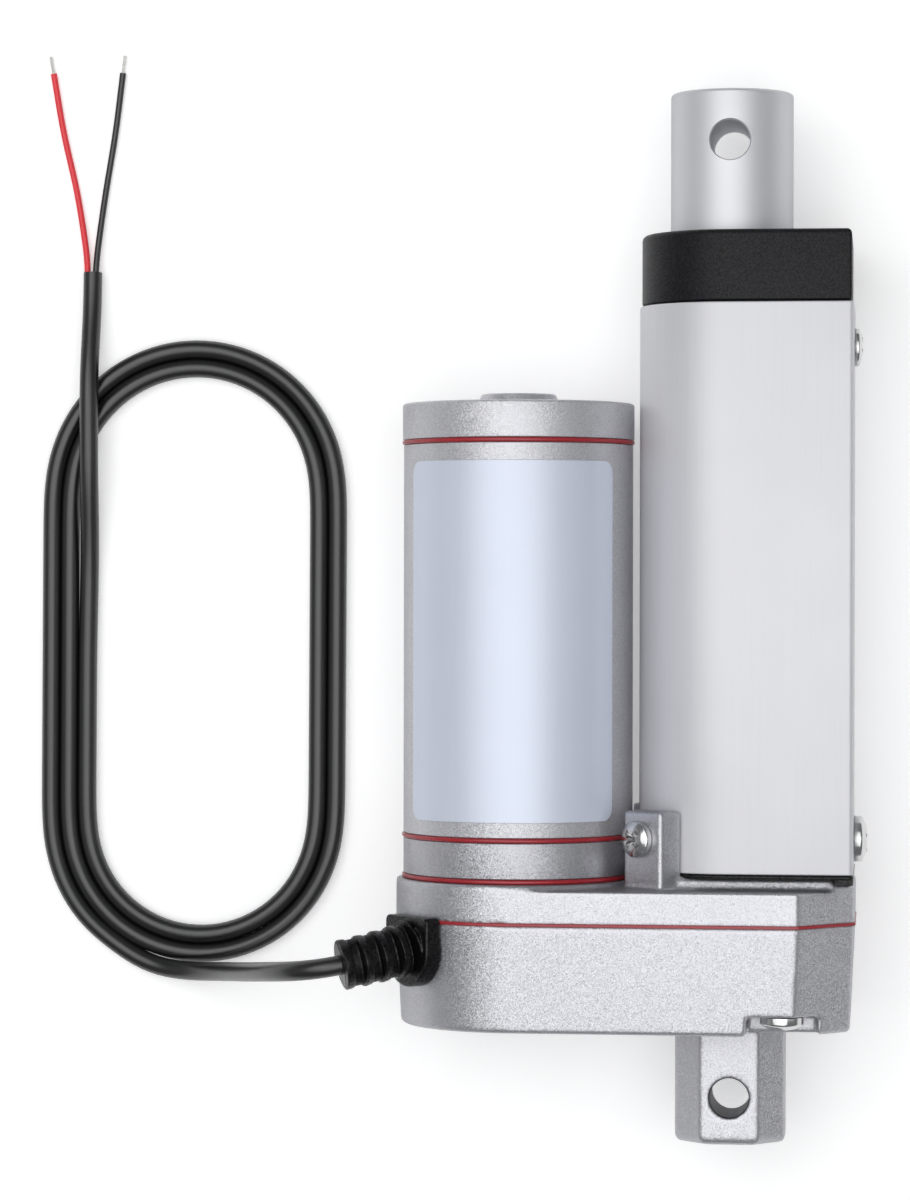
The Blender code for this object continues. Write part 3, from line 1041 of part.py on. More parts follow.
def gland(actuator):
    half = GLAND_FLANGE_WIDTH / 2
    flat_top = GLAND_FLANGE_HEIGHT - half
    plate_start = GEARBOX_HALF_DEPTH - GLAND_FLANGE_THICKNESS
    plate_end = GEARBOX_HALF_DEPTH + GLAND_FLANGE_THICKNESS
    outline = arc(0, 0, half, math.pi, math.tau, 10) + [(half, flat_top), (-half, flat_top)]
    outward = Vector((-math.sin(GLAND_ANGLE), 0, math.cos(GLAND_ANGLE)))
    across = Vector((0, 1, 0)).cross(outward)
    centre = Vector((MOTOR_X, GLAND_LEVEL, 0))
    rings = []
    for distance in (plate_start, plate_end):
        rings.append([centre + outward * distance + across * x + Vector((0, z, 0)) for x, z in outline])
    piece = add("cable_gland", loft(rings), BLACK_RUBBER, actuator)
    room = [level(gearbox_outline(GEARBOX_DRAFT - SEAT_GAP), LOWER_BOTTOM)]
    room += [level(gearbox_outline(-SEAT_GAP), along) for along in (LOWER_TOP, UPPER_TOP)]
    cut(piece, helper("gland_room", loft(room), actuator, MOTOR))
    root = gland_point(0) - outward * GLAND_FLANGE_THICKNESS / 2
    rings = [ring_round(root, outward, GLAND_BASE_RADIUS, GLAND_SIDES)]
    pitch = GLAND_LENGTH / GLAND_RIBS
    for rib in range(GLAND_RIBS):
        for part, depth in GLAND_RIB_SHAPE:
            share = (rib + part) / GLAND_RIBS
            radius = GLAND_BASE_RADIUS + (GLAND_TIP_RADIUS - GLAND_BASE_RADIUS) * share - depth
            centre = gland_point(pitch * (rib + part))
            rings.append(ring_round(centre, gland_direction(share), radius, GLAND_SIDES))
    join(piece, helper("gland_ribs", loft(rings), actuator))


def smooth_route(points, spacing):
    """Points read at about even steps from a smooth curve through the route's own points."""
    route = []
    padded = [2 * points[0] - points[1]] + points + [2 * points[-1] - points[-2]]
    for before, start, end, after in zip(padded, padded[1:], padded[2:], padded[3:]):
        steps = max(2, round((end - start).length / spacing))
        for step in range(steps):
            t = step / steps
            bend = (end - before) * t + (2 * before - 5 * start + 4 * end - after) * t * t
            route.append(start + (bend + (3 * start - before - 3 * end + after) * t ** 3) / 2)
    return route + [points[-1]]


def hose(name, points, radius, finish, resolution):
    curve = bpy.data.curves.new(name, "CURVE")
    curve.dimensions = "3D"
    curve.bevel_depth = radius
    curve.bevel_resolution = resolution
    curve.use_fill_caps = True
    line = curve.splines.new("POLY")
    line.points.add(len(points) - 1)
    for slot, point in zip(line.points, points):
        slot.co = (*point, 1.0)
    curve.materials.append(new_material(name, finish))
    return put(name, curve, None, (0, 0, 0))


def hank_point(step):
    """A point of the hank: a stadium that shrinks by one pitch a turn, clockwise from its lower middle."""
    turn = step / HANK_POINTS_PER_TURN
    wide = HANK_HALF_WIDTH - HANK_PITCH * turn
    half = HANK_STRAIGHT / 2
    quarter = HANK_QUARTER_ARC
    phase = turn % 1
    if phase < quarter:
        angle = math.pi / 2 * phase / quarter
        x, y = -wide * math.sin(angle), -half - wide * math.cos(angle)
    elif phase <= 0.5 - quarter:
        share = (phase - quarter) / (0.5 - 2 * quarter)
        x, y = -wide, HANK_STRAIGHT * share - half
    elif phase < 0.5 + quarter:
        angle = math.pi / 2 * (phase - 0.5) / quarter
        x, y = wide * math.sin(angle), half + wide * math.cos(angle)
    elif phase <= 1 - quarter:
        share = (phase - 0.5 - quarter) / (0.5 - 2 * quarter)
        x, y = wide, half - HANK_STRAIGHT * share
    else:
        angle = math.pi / 2 * (1 - phase) / quarter
        x, y = wide * math.sin(angle), -half - wide * math.cos(angle)
    return Vector((HANK_CENTRE_X + x, HANK_CENTRE_Y + y, CORD_RADIUS))


def least_gap(points, radius, apart):
    """The least gap between stretches of one tube that lie over a given number of points apart."""
    fine = []
    for start, end in zip(points, points[1:]):
        fine += [start.lerp(end, share / 4) for share in range(4)]
    gaps = [(b - a).length for i, a in enumerate(fine) for b in fine[i + apart * 4:]]
    return min(gaps) - 2 * radius


def cord():
    lift = Vector((0, EYE_Y, AXIS_Z))
    tip_way = gland_direction(1)
    start = gland_point(GLAND_LENGTH) + lift + tip_way * SEAT_GAP
    loops = [hank_point(step) for step in range(HANK_FIRST_POINT, HANK_LAST_POINT + 1)]
    entry = (loops[1] - loops[0]).normalized()
    leave = (loops[-1] - loops[-2]).normalized()
    lead = [start + tip_way * 2 * CORD_RADIUS]
    lead += [Vector(point) * MM for point in LEAD_ROUTE]
    lead.append(loops[0] - entry * 4 * CORD_RADIUS)
    spacing = 5 * CORD_RADIUS
    lead_line = [start] + smooth_route(lead, spacing) + [loops[0] - entry * SEAT_GAP]
    hose("cord_lead", lead_line, CORD_RADIUS, JACKET, 2)
    hose("cord_hank", loops, CORD_RADIUS, JACKET, 1)
    print(f"hank least gap {least_gap(loops, CORD_RADIUS, HANK_POINTS_PER_TURN // 2) / MM:.2f} mm")

    tail_x = loops[-1].x
    tail = [loops[-1] + leave * 4 * CORD_RADIUS]
    tail += [Vector((tail_x, y * MM, z * MM)) for y, z in TAIL_ROUTE]
    tail.append(Vector((tail_x, TAIL_END_Y, CORD_RADIUS)))
    tail_line = [loops[-1] + leave * SEAT_GAP] + smooth_route(tail, spacing)
    hose("cord_tail", tail_line, CORD_RADIUS, JACKET, 2)

    aside = WIRE_RADIUS + CORD_GAP / 2
    for name, side, spread, finish in (
        ("red_wire", -1, RED_WIRE_SPREAD, RED_PVC),
        ("black_wire", 1, BLACK_WIRE_SPREAD, JACKET),
    ):
        wire = []
        for share, out in WIRE_ROUTE:
            height = max(WIRE_RADIUS, CORD_RADIUS * (1 - 2 * share))
            x = tail_x + side * (aside + spread * out)
            wire.append(Vector((x, TAIL_END_Y + SEAT_GAP + WIRE_LENGTH * share, height)))
        points = smooth_route(wire, 5 * WIRE_RADIUS)
        hose(name, points, WIRE_RADIUS, finish, 2)
        way = (points[-1] - points[-2]).normalized()
        bare = points[-1] + way * SEAT_GAP
        hose(f"{name}_tip", [bare, bare + way * WIRE_TIP_LENGTH], WIRE_TIP_RADIUS, TIN, 2)


def main():
    clear_scene()
    actuator = empty("actuator", None, (0, EYE_Y, AXIS_Z))
    gearbox(actuator)
    tube_and_cap(actuator)
    rod_and_nut(empty("rod_frame", actuator, ROD))
    screw_and_bearing(actuator, empty("screw_frame", actuator, ROD))
    idler(actuator, empty("idler_frame", actuator, IDLER))
    motor_case(actuator)
    motor_label(actuator)
    rotor(empty("rotor_frame", actuator, MOTOR))
    limit_switches(actuator)
    gland(actuator)
    cord()


main()
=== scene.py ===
"""Linear actuator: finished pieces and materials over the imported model, laid out as an add-on."""

import json
import math

import bmesh
import bpy
from bpy.props import FloatProperty, FloatVectorProperty, IntProperty, PointerProperty
from mathutils import Matrix, Vector


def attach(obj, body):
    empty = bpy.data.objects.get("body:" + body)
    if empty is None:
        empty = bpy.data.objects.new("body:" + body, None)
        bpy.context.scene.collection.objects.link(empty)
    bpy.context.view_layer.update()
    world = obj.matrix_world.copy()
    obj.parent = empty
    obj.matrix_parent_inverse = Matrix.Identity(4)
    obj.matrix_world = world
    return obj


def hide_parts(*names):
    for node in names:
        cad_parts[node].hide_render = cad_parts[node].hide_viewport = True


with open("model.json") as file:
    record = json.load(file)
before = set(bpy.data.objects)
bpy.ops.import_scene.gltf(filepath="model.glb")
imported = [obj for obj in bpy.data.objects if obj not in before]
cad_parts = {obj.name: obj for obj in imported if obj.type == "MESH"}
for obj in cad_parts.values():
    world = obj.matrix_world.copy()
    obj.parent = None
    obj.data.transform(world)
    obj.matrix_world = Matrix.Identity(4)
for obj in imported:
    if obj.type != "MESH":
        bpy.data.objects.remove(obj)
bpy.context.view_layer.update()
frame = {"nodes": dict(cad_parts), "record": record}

bl_info = {
    "name": "Linear Actuator",
    "version": (1, 0, 0),
    "blender": (4, 5, 0),
    "location": "View3D > Sidebar > Actuator",
    "description": "Builds the finished pieces of a linear actuator over its packed model",
    "category": "Add Mesh",
}

# Units, and how far the middle of a rounded edge lies from its sides, as a share of its radius
MM = 0.001
IN_METRES = Matrix.Scale(1 / MM, 4)
WELD_DISTANCE = 1e-7
ROUND_MIDDLE = 0.3

# Places in millimetres. Along the axes, levels count from the pin hole of the rear eye.
MOTOR_X = -18.525
ROD_X = 16.475
IDLER_X = -1.725
AXIS_Z = 20.0
EYE_Y = -77.825
SEAT_GAP = 0.25
RUNNING_GAP = 0.35

# Gearbox castings
HALF_DEPTH = 20.0
AXIS_SPACING = ROD_X - MOTOR_X
RIGHT_REACH = 20.3
CORNER_CHAMFER = 9.0
DRAFT = 0.8
EDGE_ROUND = 0.45
LOWER_BOTTOM = 11.4
LOWER_TOP = 28.9
CAVITY_FLOOR = 15.0
CAVITY_RADIUS = 15.2
CAVITY_LEFT_CENTRE = 9.0
GASKET_BOTTOM = 28.6
GASKET_TOP = 29.2
GASKET_PROUD = 0.12
GASKET_BEVEL = 0.15
GASKET_EDGE_INSET = 0.1
UPPER_BOTTOM = 28.9
UPPER_TOP = 34.3
MOTOR_SEAT = 35.2
MOTOR_BOSS_RADIUS = 19.95
PAD_TOP = 36.2
PAD_LEFT = 8.2
PAD_RIGHT = 16.9
PAD_HALF_DEPTH = 13.9
PAD_CORNER = 0.4
PAD_ROOT_HALF_DEPTH = 14.8
PAD_ROOT_CORNER = 0.9
END_STEP_TOP = 35.2
SPIGOT_TOP = 46.0
EYE_WIDTH = 18.0
EYE_THICKNESS = 13.0
EYE_CHAMFER = 4.4
EYE_END = 7.7
EYE_ROUND = 1.1
EYE_END_INSET = 0.99
PIN_HOLE_RADIUS = 3.2
HOUSING_SEAT = 14.5
POCKET_WIDTH = 11.3
LUG_ANGLE = math.radians(41.0)
LUG_CORNER_X = 24.4
LUG_CORNER_HEIGHT = 16.9
LUG_FACE_WIDTH = 8.4
LUG_DEPTH = 8.6
LUG_TOP = 46.9
LUG_CUT_BOTTOM = 35.2
LUG_SCREW_FROM_CORNER = 4.8
LUG_SCREW_LEVEL = 42.4
LUG_SCREW_HOLE_RADIUS = 1.7
LUG_SCREW_HOLE_DEPTH = 7.0
HOUSING_SCREW_RIGHT = 8.75
HOUSING_SCREW_LEFT = 9.9
HOUSING_SCREW_DEPTH = 15.5
HOUSING_HOLE_RADIUS = 2.15
COUNTERBORE_RADIUS = 3.7
POCKET_BACK = 4.0
CASTING_ROOT = 2.0
EYE_ROOT = 1.5
LOWER_BUSH_RADIUS = 4.95
LOWER_BUSH_DEPTH = 4.4
IDLER_PIN_RADIUS = 1.75
IDLER_PIN_DEPTH = 2.0
SHOULDER_RADIUS = 9.95
BEARING_RADIUS = 11.25
BEARING_FLOOR = 34.6
OVERRUN = 9.0

# Tube, cap and rod
TUBE_RADIUS = 15.0
TUBE_FLAT = 20.0
TUBE_CORNER = 0.8
TUBE_WALL = 2.0
SEAL_BOTTOM = 36.2
SEAL_TOP = 36.8
SEAL_PROUD = 0.1
SEAL_LIP_LEFT = 17.1
SEAL_LIP_TOP = 36.6
SEAL_LIP_HALF_DEPTH = 14.4
TUBE_BOTTOM = 36.9
TUBE_TOP = 128.6
CAP_SPIGOT_BOTTOM = 115.6
CAP_BOTTOM = 128.85
CAP_TOP = 140.25
CAP_INSET = 0.35
CAP_ROUND = 0.9
CAP_BORE_RADIUS = 12.1
MOUTH_CHAMFER = 0.4
WIPER_HEIGHT = 3.2
WIPER_LIP_DROP = 0.1
WIPER_GROOVE_OUTER = 0.9
WIPER_GROOVE_MIDDLE = 0.5
WIPER_GROOVE_DEPTH = 0.6
ROD_RADIUS = 10.0
ROD_BORE_RADIUS = 7.0
ROD_BOTTOM = 58.25
ROD_BORE_TOP = 146.05
ROD_TOP = 163.35
ROD_HOLE = 155.05
ROD_EDGE_ROUND = 0.6
HOLE_CHAMFER = 0.2

# Motor
MOTOR_RADIUS = 18.85
MOTOR_CAP_RADIUS = 19.05
MOTOR_WALL = 1.65
MOTOR_PILOT_RADIUS = 6.8
MOTOR_EDGE_ROUND = 0.2
CAN_INNER_ROUND = 0.15
PILOT_ROUND = 0.3
FLANGE_BOTTOM = 36.0
FLANGE_TOP = 41.8
CAN_BOTTOM = 42.6
CAN_TOP = 106.1
REAR_CAP_BOTTOM = 106.9
REAR_CAP_TOP = 112.9
REAR_BOSS_RADIUS = 6.1
REAR_BOSS_TOP = 114.5
RING_GASKETS = (("motor_flange_gasket", 35.25), ("motor_front_gasket", 41.85), ("motor_cap_gasket", 106.15))
RING_GASKET_RADIUS = 19.1
RING_GASKET_WIDTH = 2.0
RING_GASKET_HEIGHT = 0.7
RING_GASKET_ROUND = 0.3
BUSH_SEAT_RADIUS = 4.8
SHAFT_HOLE_RADIUS = 3.05
SHAFT_HOLE_DEPTH = 1.1
PILOT_HEIGHT = 4.0
REAR_CAP_ROUND = 0.5
REAR_BOSS_FOOT_RADIUS = 6.7
TIE_BOLT_CIRCLE = 15.0
TIE_BOLT_HOLE_RADIUS = 1.65
TIE_BOLT_SINK_RADIUS = 2.85
TIE_BOLT_SEAT = 110.15
LABEL_RADIUS = 19.05
LABEL_THICKNESS = 0.15
LABEL_LEFT = math.radians(-57.5)
LABEL_RIGHT = math.radians(57.5)
LABEL_BOTTOM = 45.1
LABEL_TOP = 103.2
LABEL_CORNER = 2.0
LABEL_EDGE = 0.05

# Screws: head radius and height, then shank radius and length
HOUSING_SCREW = ((3.5, 2.2), (1.85, 17.5))
LUG_SCREW = ((2.95, 1.8), (1.45, 5.5))
TUBE_SCREW = ((3.75, 2.2), (1.85, 5.0))
CAP_SCREW = ((3.1, 1.3), (1.45, 5.0))
TIE_BOLT = ((2.6, 2.1), (1.38, 78.5))
TUBE_SCREW_LEVEL = 41.9
CAP_SCREW_LEVEL = 122.0
HEAD_GAP = 0.05
FIRST_SCREW_TURN = 17.0
NEXT_SCREW_TURN = 53.0

# Gland and cord
GLAND_ANGLE = math.radians(49.5)
GLAND_TURN = math.radians(21.0)
GLAND_DROOP = math.radians(11.0)
GLAND_LENGTH = 11.8
GLAND_LEVEL = 24.4
GLAND_PLATE_DROP = 0.2
GLAND_PLATE_ASIDE = -0.3
GLAND_PLATE_CORNER = 0.8
GLAND_PLATE_EDGE = 0.3
GLAND_FLANGE = 2.0
GLAND_WIDTH = 12.0
GLAND_HEIGHT = 11.4
GLAND_RING_RADIUS = 4.75
GLAND_RING_WIDTH = 0.6
GLAND_SPINE_DROP = 0.35
GLAND_RIB_PLACE = 0.74
GLAND_RIB_SHARE = 0.48
GLAND_CORE_RADIUS = 2.2
GLAND_BASE_RADIUS = 4.4
GLAND_TIP_RADIUS = 4.1
GLAND_CLEARANCE = 0.1
GLAND_VOXEL = 0.00018
GLAND_SMOOTHING = 3
CORD_RADIUS = 1.6
CORD_SIDES = 20
CORD_HIDDEN = 2.0
ROUTE_SPACING = 2.0
LINE_SPACING = 1.5
LINE_ROUNDS = 12
HANK_PITCH = 3.13
HANK_HALF_WIDTH = 26.205
HANK_STRAIGHT = 55.8
HANK_CENTRE = (-75.04, -6.885)
HANK_POINTS_PER_TURN = 24
HANK_FIRST_POINT = 2
HANK_LAST_POINT = 54
HANK_QUARTER_ARC = 5 / HANK_POINTS_PER_TURN
LEAD_ROUTE = (
    (-52.8, -56.8, 39.6), (-58.0, -57.6, 32.5), (-63.8, -58.8, 21.5),
    (-69.7, -59.8, 11.0), (-76.5, -60.5, 4.2),
)
TAIL_ROUTE = (
    (0.3, 8.0, 1.6), (0.6, 15.5, 3.0), (0.8, 24.0, 5.0), (0.8, 32.0, 5.0),
    (0.8, 41.0, 5.0), (0.8, 49.0, 2.8), (0.8, 55.0, 1.6), (0.8, 58.6, 1.6),
)
WIRE_SHIFT = -0.2
WIRE_GAP = 0.37
WIRE_LENGTH = 34.2
WIRE_ROUTE = ((0, 0), (0.1, 0.04), (0.4, 0.33), (0.7, 0.71), (1.0, 1.0))
WIRE_RADIUS = 0.54
WIRE_SPACING = 1.0
WIRE_ROUNDS = 4
WIRES = (("red_wire", "red_wire", "red_wire", -1, 6.15), ("black_wire", "jacket", "cord_jacket", 1, 4.45))
TIP_LENGTH = 3.6
TIP_RADIUS = 0.27
TIP_HIDDEN = 0.6
STRAND_STEPS = 16

# Camera, fitted to the photograph's edges
IMAGE_SIZE = (910, 1200)
CAMERA_PLACE = (41.058, 6.292, 669.848)
CAMERA_FOCAL_PIXELS = 3964.939
CAMERA_DOWN_PIXEL = (882.562, 579.789)
CAMERA_ROLL = math.radians(0.115)
SENSOR = 36.0

# Finishes: tints of metals at a glancing view, the paint's unevenness and drift, strands, and the painted
# shade in the eye's bore
DARK_EDGE = (0.3, 0.3, 0.3, 1.0)
DIM_EDGE = (0.6, 0.6, 0.6, 1.0)
PEEL_DEPTH = 0.00004
PAINT_DRIFT = 0.12
TIN_COLOUR = (0.66, 0.66, 0.64)
# Painted shade on the wall of the eye's pin bore: how far past the bore it reaches, and its colour
BORE_SHADE_MARGIN = 0.15
BORE_SHADE_COLOUR = (0.16, 0.16, 0.17)


def colour_property(name, description, default):
    return FloatVectorProperty(
        name=name, description=description, default=default, subtype="COLOR", size=3, min=0.0, max=1.0
    )


def length_property(name, description, default, low, high):
    return FloatProperty(
        name=name, description=description, default=default, min=low, max=high,
        subtype="DISTANCE", unit="LENGTH",
    )


def count_property(name, description, default, low, high):
    return IntProperty(name=name, description=description, default=default, min=low, max=high)


class ActuatorColours(bpy.types.PropertyGroup):
    """Colours of the finishes."""

    casting: colour_property("Castings", "Silver paint on the gearbox", (0.545, 0.545, 0.575))
    motor: colour_property("Motor", "Silver paint on the motor", (0.61, 0.61, 0.64))
    # The flange's darker colour is painted shade: the motor's silver darkened where the gearbox shades the
    # foot of the motor.
    flange: colour_property("Motor flange", "Darker paint on the motor's flange", (0.475, 0.475, 0.505))
    tube: colour_property("Tube", "Anodised outer tube", (0.72, 0.72, 0.75))
    rod: colour_property("Rod", "Bright rod", (0.76, 0.765, 0.79))
    gasket: colour_property("Gaskets", "Red silicone gaskets", (0.38, 0.018, 0.028))
    plastic: colour_property("Plastic", "Front cap and seals", (0.006, 0.006, 0.008))
    gland: colour_property("Gland", "Moulded cable gland", (0.003, 0.003, 0.0035))
    jacket: colour_property("Cord", "Cord jacket", (0.008, 0.008, 0.008))
    wire: colour_property("Red wire", "Insulation of the red wire", (0.90, 0.05, 0.065))
    label: colour_property("Label", "Bare foil label", (0.715, 0.765, 0.885))
    screws: colour_property("Screws", "Zinc plated screws", (0.62, 0.62, 0.62))


class ActuatorSizes(bpy.types.PropertyGroup):
    """Sizes of the fine detail."""

    cast_voxel: length_property("Casting detail", "Size of the castings' mesh cells", 0.0004, 0.0003, 0.002)
    cast_smoothing: count_property("Casting softness", "Smoothing steps that round the cast edges", 5, 0, 30)
    flake_size: length_property("Flake size", "Width of a flake in the silver paint", 0.00012, 0.0001, 0.002)
    gland_ribs: count_property("Gland ribs", "Ribs along the cable gland", 4, 2, 8)
    strands: count_property("Strands", "Copper strands at a wire's bare end", 7, 3, 19)


# Outlines and meshes, in millimetres

def arc(centre_x, centre_y, radius, start, end, steps):
    angles = [start + (end - start) * step / steps for step in range(steps + 1)]
    return [(centre_x + radius * math.cos(a), centre_y + radius * math.sin(a)) for a in angles]


def rounded(corners, closed=True, steps=5):
    """A path of (x, y, radius) corners with each corner rounded to its radius."""
    points = []
    count = len(corners)
    for index, (x, y, radius) in enumerate(corners):
        at_end = not closed and index in (0, count - 1)
        if radius == 0 or at_end:
            points.append((x, y))
            continue
        here = Vector((x, y))
        before = Vector(corners[index - 1][:2]) - here
        after = Vector(corners[(index + 1) % count][:2]) - here
        half = before.angle(after) / 2
        reach = radius / math.tan(half)
        middle = here + (before.normalized() + after.normalized()).normalized() * radius / math.sin(half)
        first = here + before.normalized() * reach - middle
        last = here + after.normalized() * reach - middle
        sweep = first.angle_signed(last)
        for step in range(steps + 1):
            turn = Matrix.Rotation(-sweep * step / steps, 2)
            points.append(tuple(middle + turn @ first))
    return points


def d_outline(inset, fine=48):
    """The tube's outline about the rod axis: half round towards the motor, flat on the other side."""
    radius = TUBE_RADIUS - inset
    corner = max(TUBE_CORNER - inset, TUBE_CORNER / 4)
    right = TUBE_FLAT - inset - corner
    points = arc(0, 0, radius, math.pi / 2, 3 * math.pi / 2, fine)
    points += arc(right, corner - radius, corner, -math.pi / 2, 0, 8)
    return points + arc(right, radius - corner, corner, 0, math.pi / 2, 8)


def gearbox_outline(inset, fine=48):
    """The gearbox outline about the motor axis: a round end at the motor, chamfered corners at the tube."""
    depth = HALF_DEPTH - inset
    right = AXIS_SPACING + RIGHT_REACH - inset
    points = arc(0, 0, depth, math.pi / 2, 3 * math.pi / 2, fine)
    points += [(right - CORNER_CHAMFER, -depth), (right, CORNER_CHAMFER - depth)]
    return points + [(right, depth - CORNER_CHAMFER), (right - CORNER_CHAMFER, depth)]


def cavity_outline():
    left = arc(CAVITY_LEFT_CENTRE, 0, CAVITY_RADIUS, math.pi / 2, 3 * math.pi / 2, 24)
    return left + arc(AXIS_SPACING, 0, CAVITY_RADIUS, -math.pi / 2, math.pi / 2, 24)


def eye_outline(inset):
    wide = EYE_WIDTH / 2 - inset
    thick = EYE_THICKNESS / 2 - inset
    right = [(wide, EYE_CHAMFER - thick), (wide, thick - EYE_CHAMFER), (wide - EYE_CHAMFER, thick)]
    left = [(EYE_CHAMFER - wide, thick), (-wide, thick - EYE_CHAMFER), (-wide, EYE_CHAMFER - thick)]
    return right + left + [(EYE_CHAMFER - wide, -thick), (wide - EYE_CHAMFER, -thick)]


def loft(rings, endless=False):
    """Points and faces of a skin over rings of equal length, closed at both ends or into a loop."""
    count = len(rings[0])
    points = [point for ring in rings for point in ring]
    faces = []
    spans = len(rings) if endless else len(rings) - 1
    for span in range(spans):
        low = span * count
        high = (span + 1) % len(rings) * count
        for side in range(count):
            after = (side + 1) % count
            faces.append((low + side, low + after, high + after, high + side))
    if not endless:
        faces.append(tuple(reversed(range(count))))
        faces.append(tuple(range((len(rings) - 1) * count, len(rings) * count)))
    return points, faces


def at_level(outline, level):
    return [(x, level, z) for x, z in outline]


def prism(outline, start, end):
    return loft([at_level(outline, start), at_level(outline, end)])


def stack(outline, steps, endless=False):
    """A skin over an outline's rings, one for each step's inset and level."""
    return loft([at_level(outline(inset), level) for inset, level in steps], endless)


def mirrored(half):
    """The front half of an outline with its mirrored back half."""
    return half + [(x, -z) for x, z in reversed(half)]


def revolve(profile, segments=144, endless=True):
    """A profile of (radius, level) turned about its axis; an open profile starts and ends on the axis."""
    angles = [math.tau * step / segments for step in range(segments)]
    rings = [[(r * math.cos(a), y, r * math.sin(a)) for a in angles] for r, y in profile if r > 0]
    points, faces = loft(rings, endless)
    if endless:
        return points, faces
    faces = faces[:-2]
    last = (len(rings) - 1) * segments
    points += [(0, profile[0][1], 0), (0, profile[-1][1], 0)]
    for side in range(segments):
        after = (side + 1) % segments
        faces.append((len(points) - 2, after, side))
        faces.append((len(points) - 1, last + side, last + after))
    return points, faces


def cylinder(radius, start, end, segments=64):
    return revolve([(0, start), (radius, start), (radius, end), (0, end)], segments, endless=False)


def at_axis(x, z=0.0):
    """The frame of a piece that stands along the actuator's axis, at the rear eye's level."""
    return Matrix.Translation((x, EYE_Y, AXIS_Z + z))


def facing(place, outward):
    """A frame whose Y axis points outward from a place in the actuator's frame."""
    turn = Vector(outward).to_track_quat("Y", "X").to_matrix().to_4x4()
    return Matrix.Translation(Vector(place) + Vector((0, EYE_Y, AXIS_Z))) @ turn


def linked_object(name, data):
    thing = bpy.data.objects.new(name, data)
    bpy.context.scene.collection.objects.link(thing)
    return thing


def new_object(name, shape, place):
    """A mesh object of closed faces, with its place in the mesh, in metres."""
    points, faces = shape
    mesh = bpy.data.meshes.new(name)
    mesh.from_pydata([place @ Vector(point) * MM for point in points], [], faces)
    fix_normals(mesh)
    return linked_object(name, mesh)


def fix_normals(mesh):
    shape = bmesh.new()
    shape.from_mesh(mesh)
    bmesh.ops.remove_doubles(shape, verts=shape.verts, dist=WELD_DISTANCE)
    bmesh.ops.recalc_face_normals(shape, faces=shape.faces)
    shape.to_mesh(mesh)
    shape.free()


def bake_modifiers(thing):
    """Turns the object's modifiers into its mesh."""
    bpy.context.view_layer.update()
    graph = bpy.context.evaluated_depsgraph_get()
    made = bpy.data.meshes.new_from_object(thing.evaluated_get(graph))
    thing.modifiers.clear()
    old = thing.data
    thing.data = made
    bpy.data.meshes.remove(old)
    made.name = thing.name


def combine(thing, tool, operation):
    step = thing.modifiers.new("combine", "BOOLEAN")
    step.solver = "EXACT"
    step.operation = operation
    step.object = tool
    bake_modifiers(thing)
    if len(thing.data.polygons) == 0:
        raise RuntimeError(f"{thing.name} was lost in a {operation}")
    drop(tool)


def drop(thing):
    mesh = thing.data
    bpy.data.objects.remove(thing)
    bpy.data.meshes.remove(mesh)


def cut(thing, shape, place):
    combine(thing, new_object("cutter", shape, place), "DIFFERENCE")


def join(thing, shape, place):
    combine(thing, new_object("joiner", shape, place), "UNION")


def remesh(thing, voxel, smoothing):
    """Rebuilds a piece from small even cells and softens its edges, as in a casting."""
    step = thing.modifiers.new("cells", "REMESH")
    step.mode = "VOXEL"
    step.voxel_size = voxel
    soft = thing.modifiers.new("soften", "SMOOTH")
    soft.factor = 0.5
    soft.iterations = smoothing
    bake_modifiers(thing)


def finish_piece(thing, material, slot, *nodes, body="body", sharp=30.0):
    """Shades a piece, gives it its material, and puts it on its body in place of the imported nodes."""
    fix_normals(thing.data)
    thing.data.shade_smooth()
    if sharp:
        thing.data.set_sharp_from_angle(angle=math.radians(sharp))
    thing.data.materials.clear()
    thing.data.materials.append(material)
    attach(thing, body)
    if nodes:
        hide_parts(*nodes)
    return thing


# Materials

def add_node(tree, kind, inputs=None, **settings):
    node = tree.nodes.new(kind)
    for name, value in settings.items():
        setattr(node, name, value)
    for name, value in (inputs or {}).items():
        if isinstance(value, bpy.types.NodeSocket):
            tree.links.new(value, node.inputs[name])
        else:
            node.inputs[name].default_value = value
    return node


def math_node(tree, operation, *values):
    return add_node(tree, "ShaderNodeMath", dict(enumerate(values)), operation=operation).outputs[0]


def vector_node(tree, operation, *values, **named):
    inputs = dict(enumerate(values)) | named
    return add_node(tree, "ShaderNodeVectorMath", inputs, operation=operation).outputs[0]


def new_group(name, inputs, outputs):
    """An empty shader group with its inputs (name, kind, default) and outputs (name, kind)."""
    group = bpy.data.node_groups.new(name, "ShaderNodeTree")
    for label, kind, default in inputs:
        socket = group.interface.new_socket(label, in_out="INPUT", socket_type=kind)
        socket.default_value = default
    for label, kind in outputs:
        group.interface.new_socket(label, in_out="OUTPUT", socket_type=kind)
    return group, group.nodes.new("NodeGroupInput"), group.nodes.new("NodeGroupOutput")


def build_flake(name):
    """Paint flakes: each small cell has a normal and a brightness of its own."""
    number = "NodeSocketFloat"
    group, given, result = new_group(
        name,
        [("Size", number, 0.0002), ("Tilt", number, 0.2), ("Normal", "NodeSocketVector", (0, 0, 0))],
        [("Normal", "NodeSocketVector"), ("Brightness", number)],
    )
    place = add_node(group, "ShaderNodeTexCoord").outputs["Object"]
    scale = math_node(group, "DIVIDE", 1.0, given.outputs["Size"])
    cells = add_node(group, "ShaderNodeTexVoronoi", {"Vector": place, "Scale": scale}, feature="F1")
    centred = vector_node(group, "SUBTRACT", cells.outputs["Color"], (0.5, 0.5, 0.5))
    tilted = vector_node(group, "SCALE", centred, Scale=given.outputs["Tilt"])
    unit = vector_node(group, "NORMALIZE", vector_node(group, "ADD", tilted, given.outputs["Normal"]))
    parts = add_node(group, "ShaderNodeSeparateColor", {"Color": cells.outputs["Color"]})
    group.links.new(unit, result.inputs["Normal"])
    group.links.new(parts.outputs["Red"], result.inputs["Brightness"])
    return group


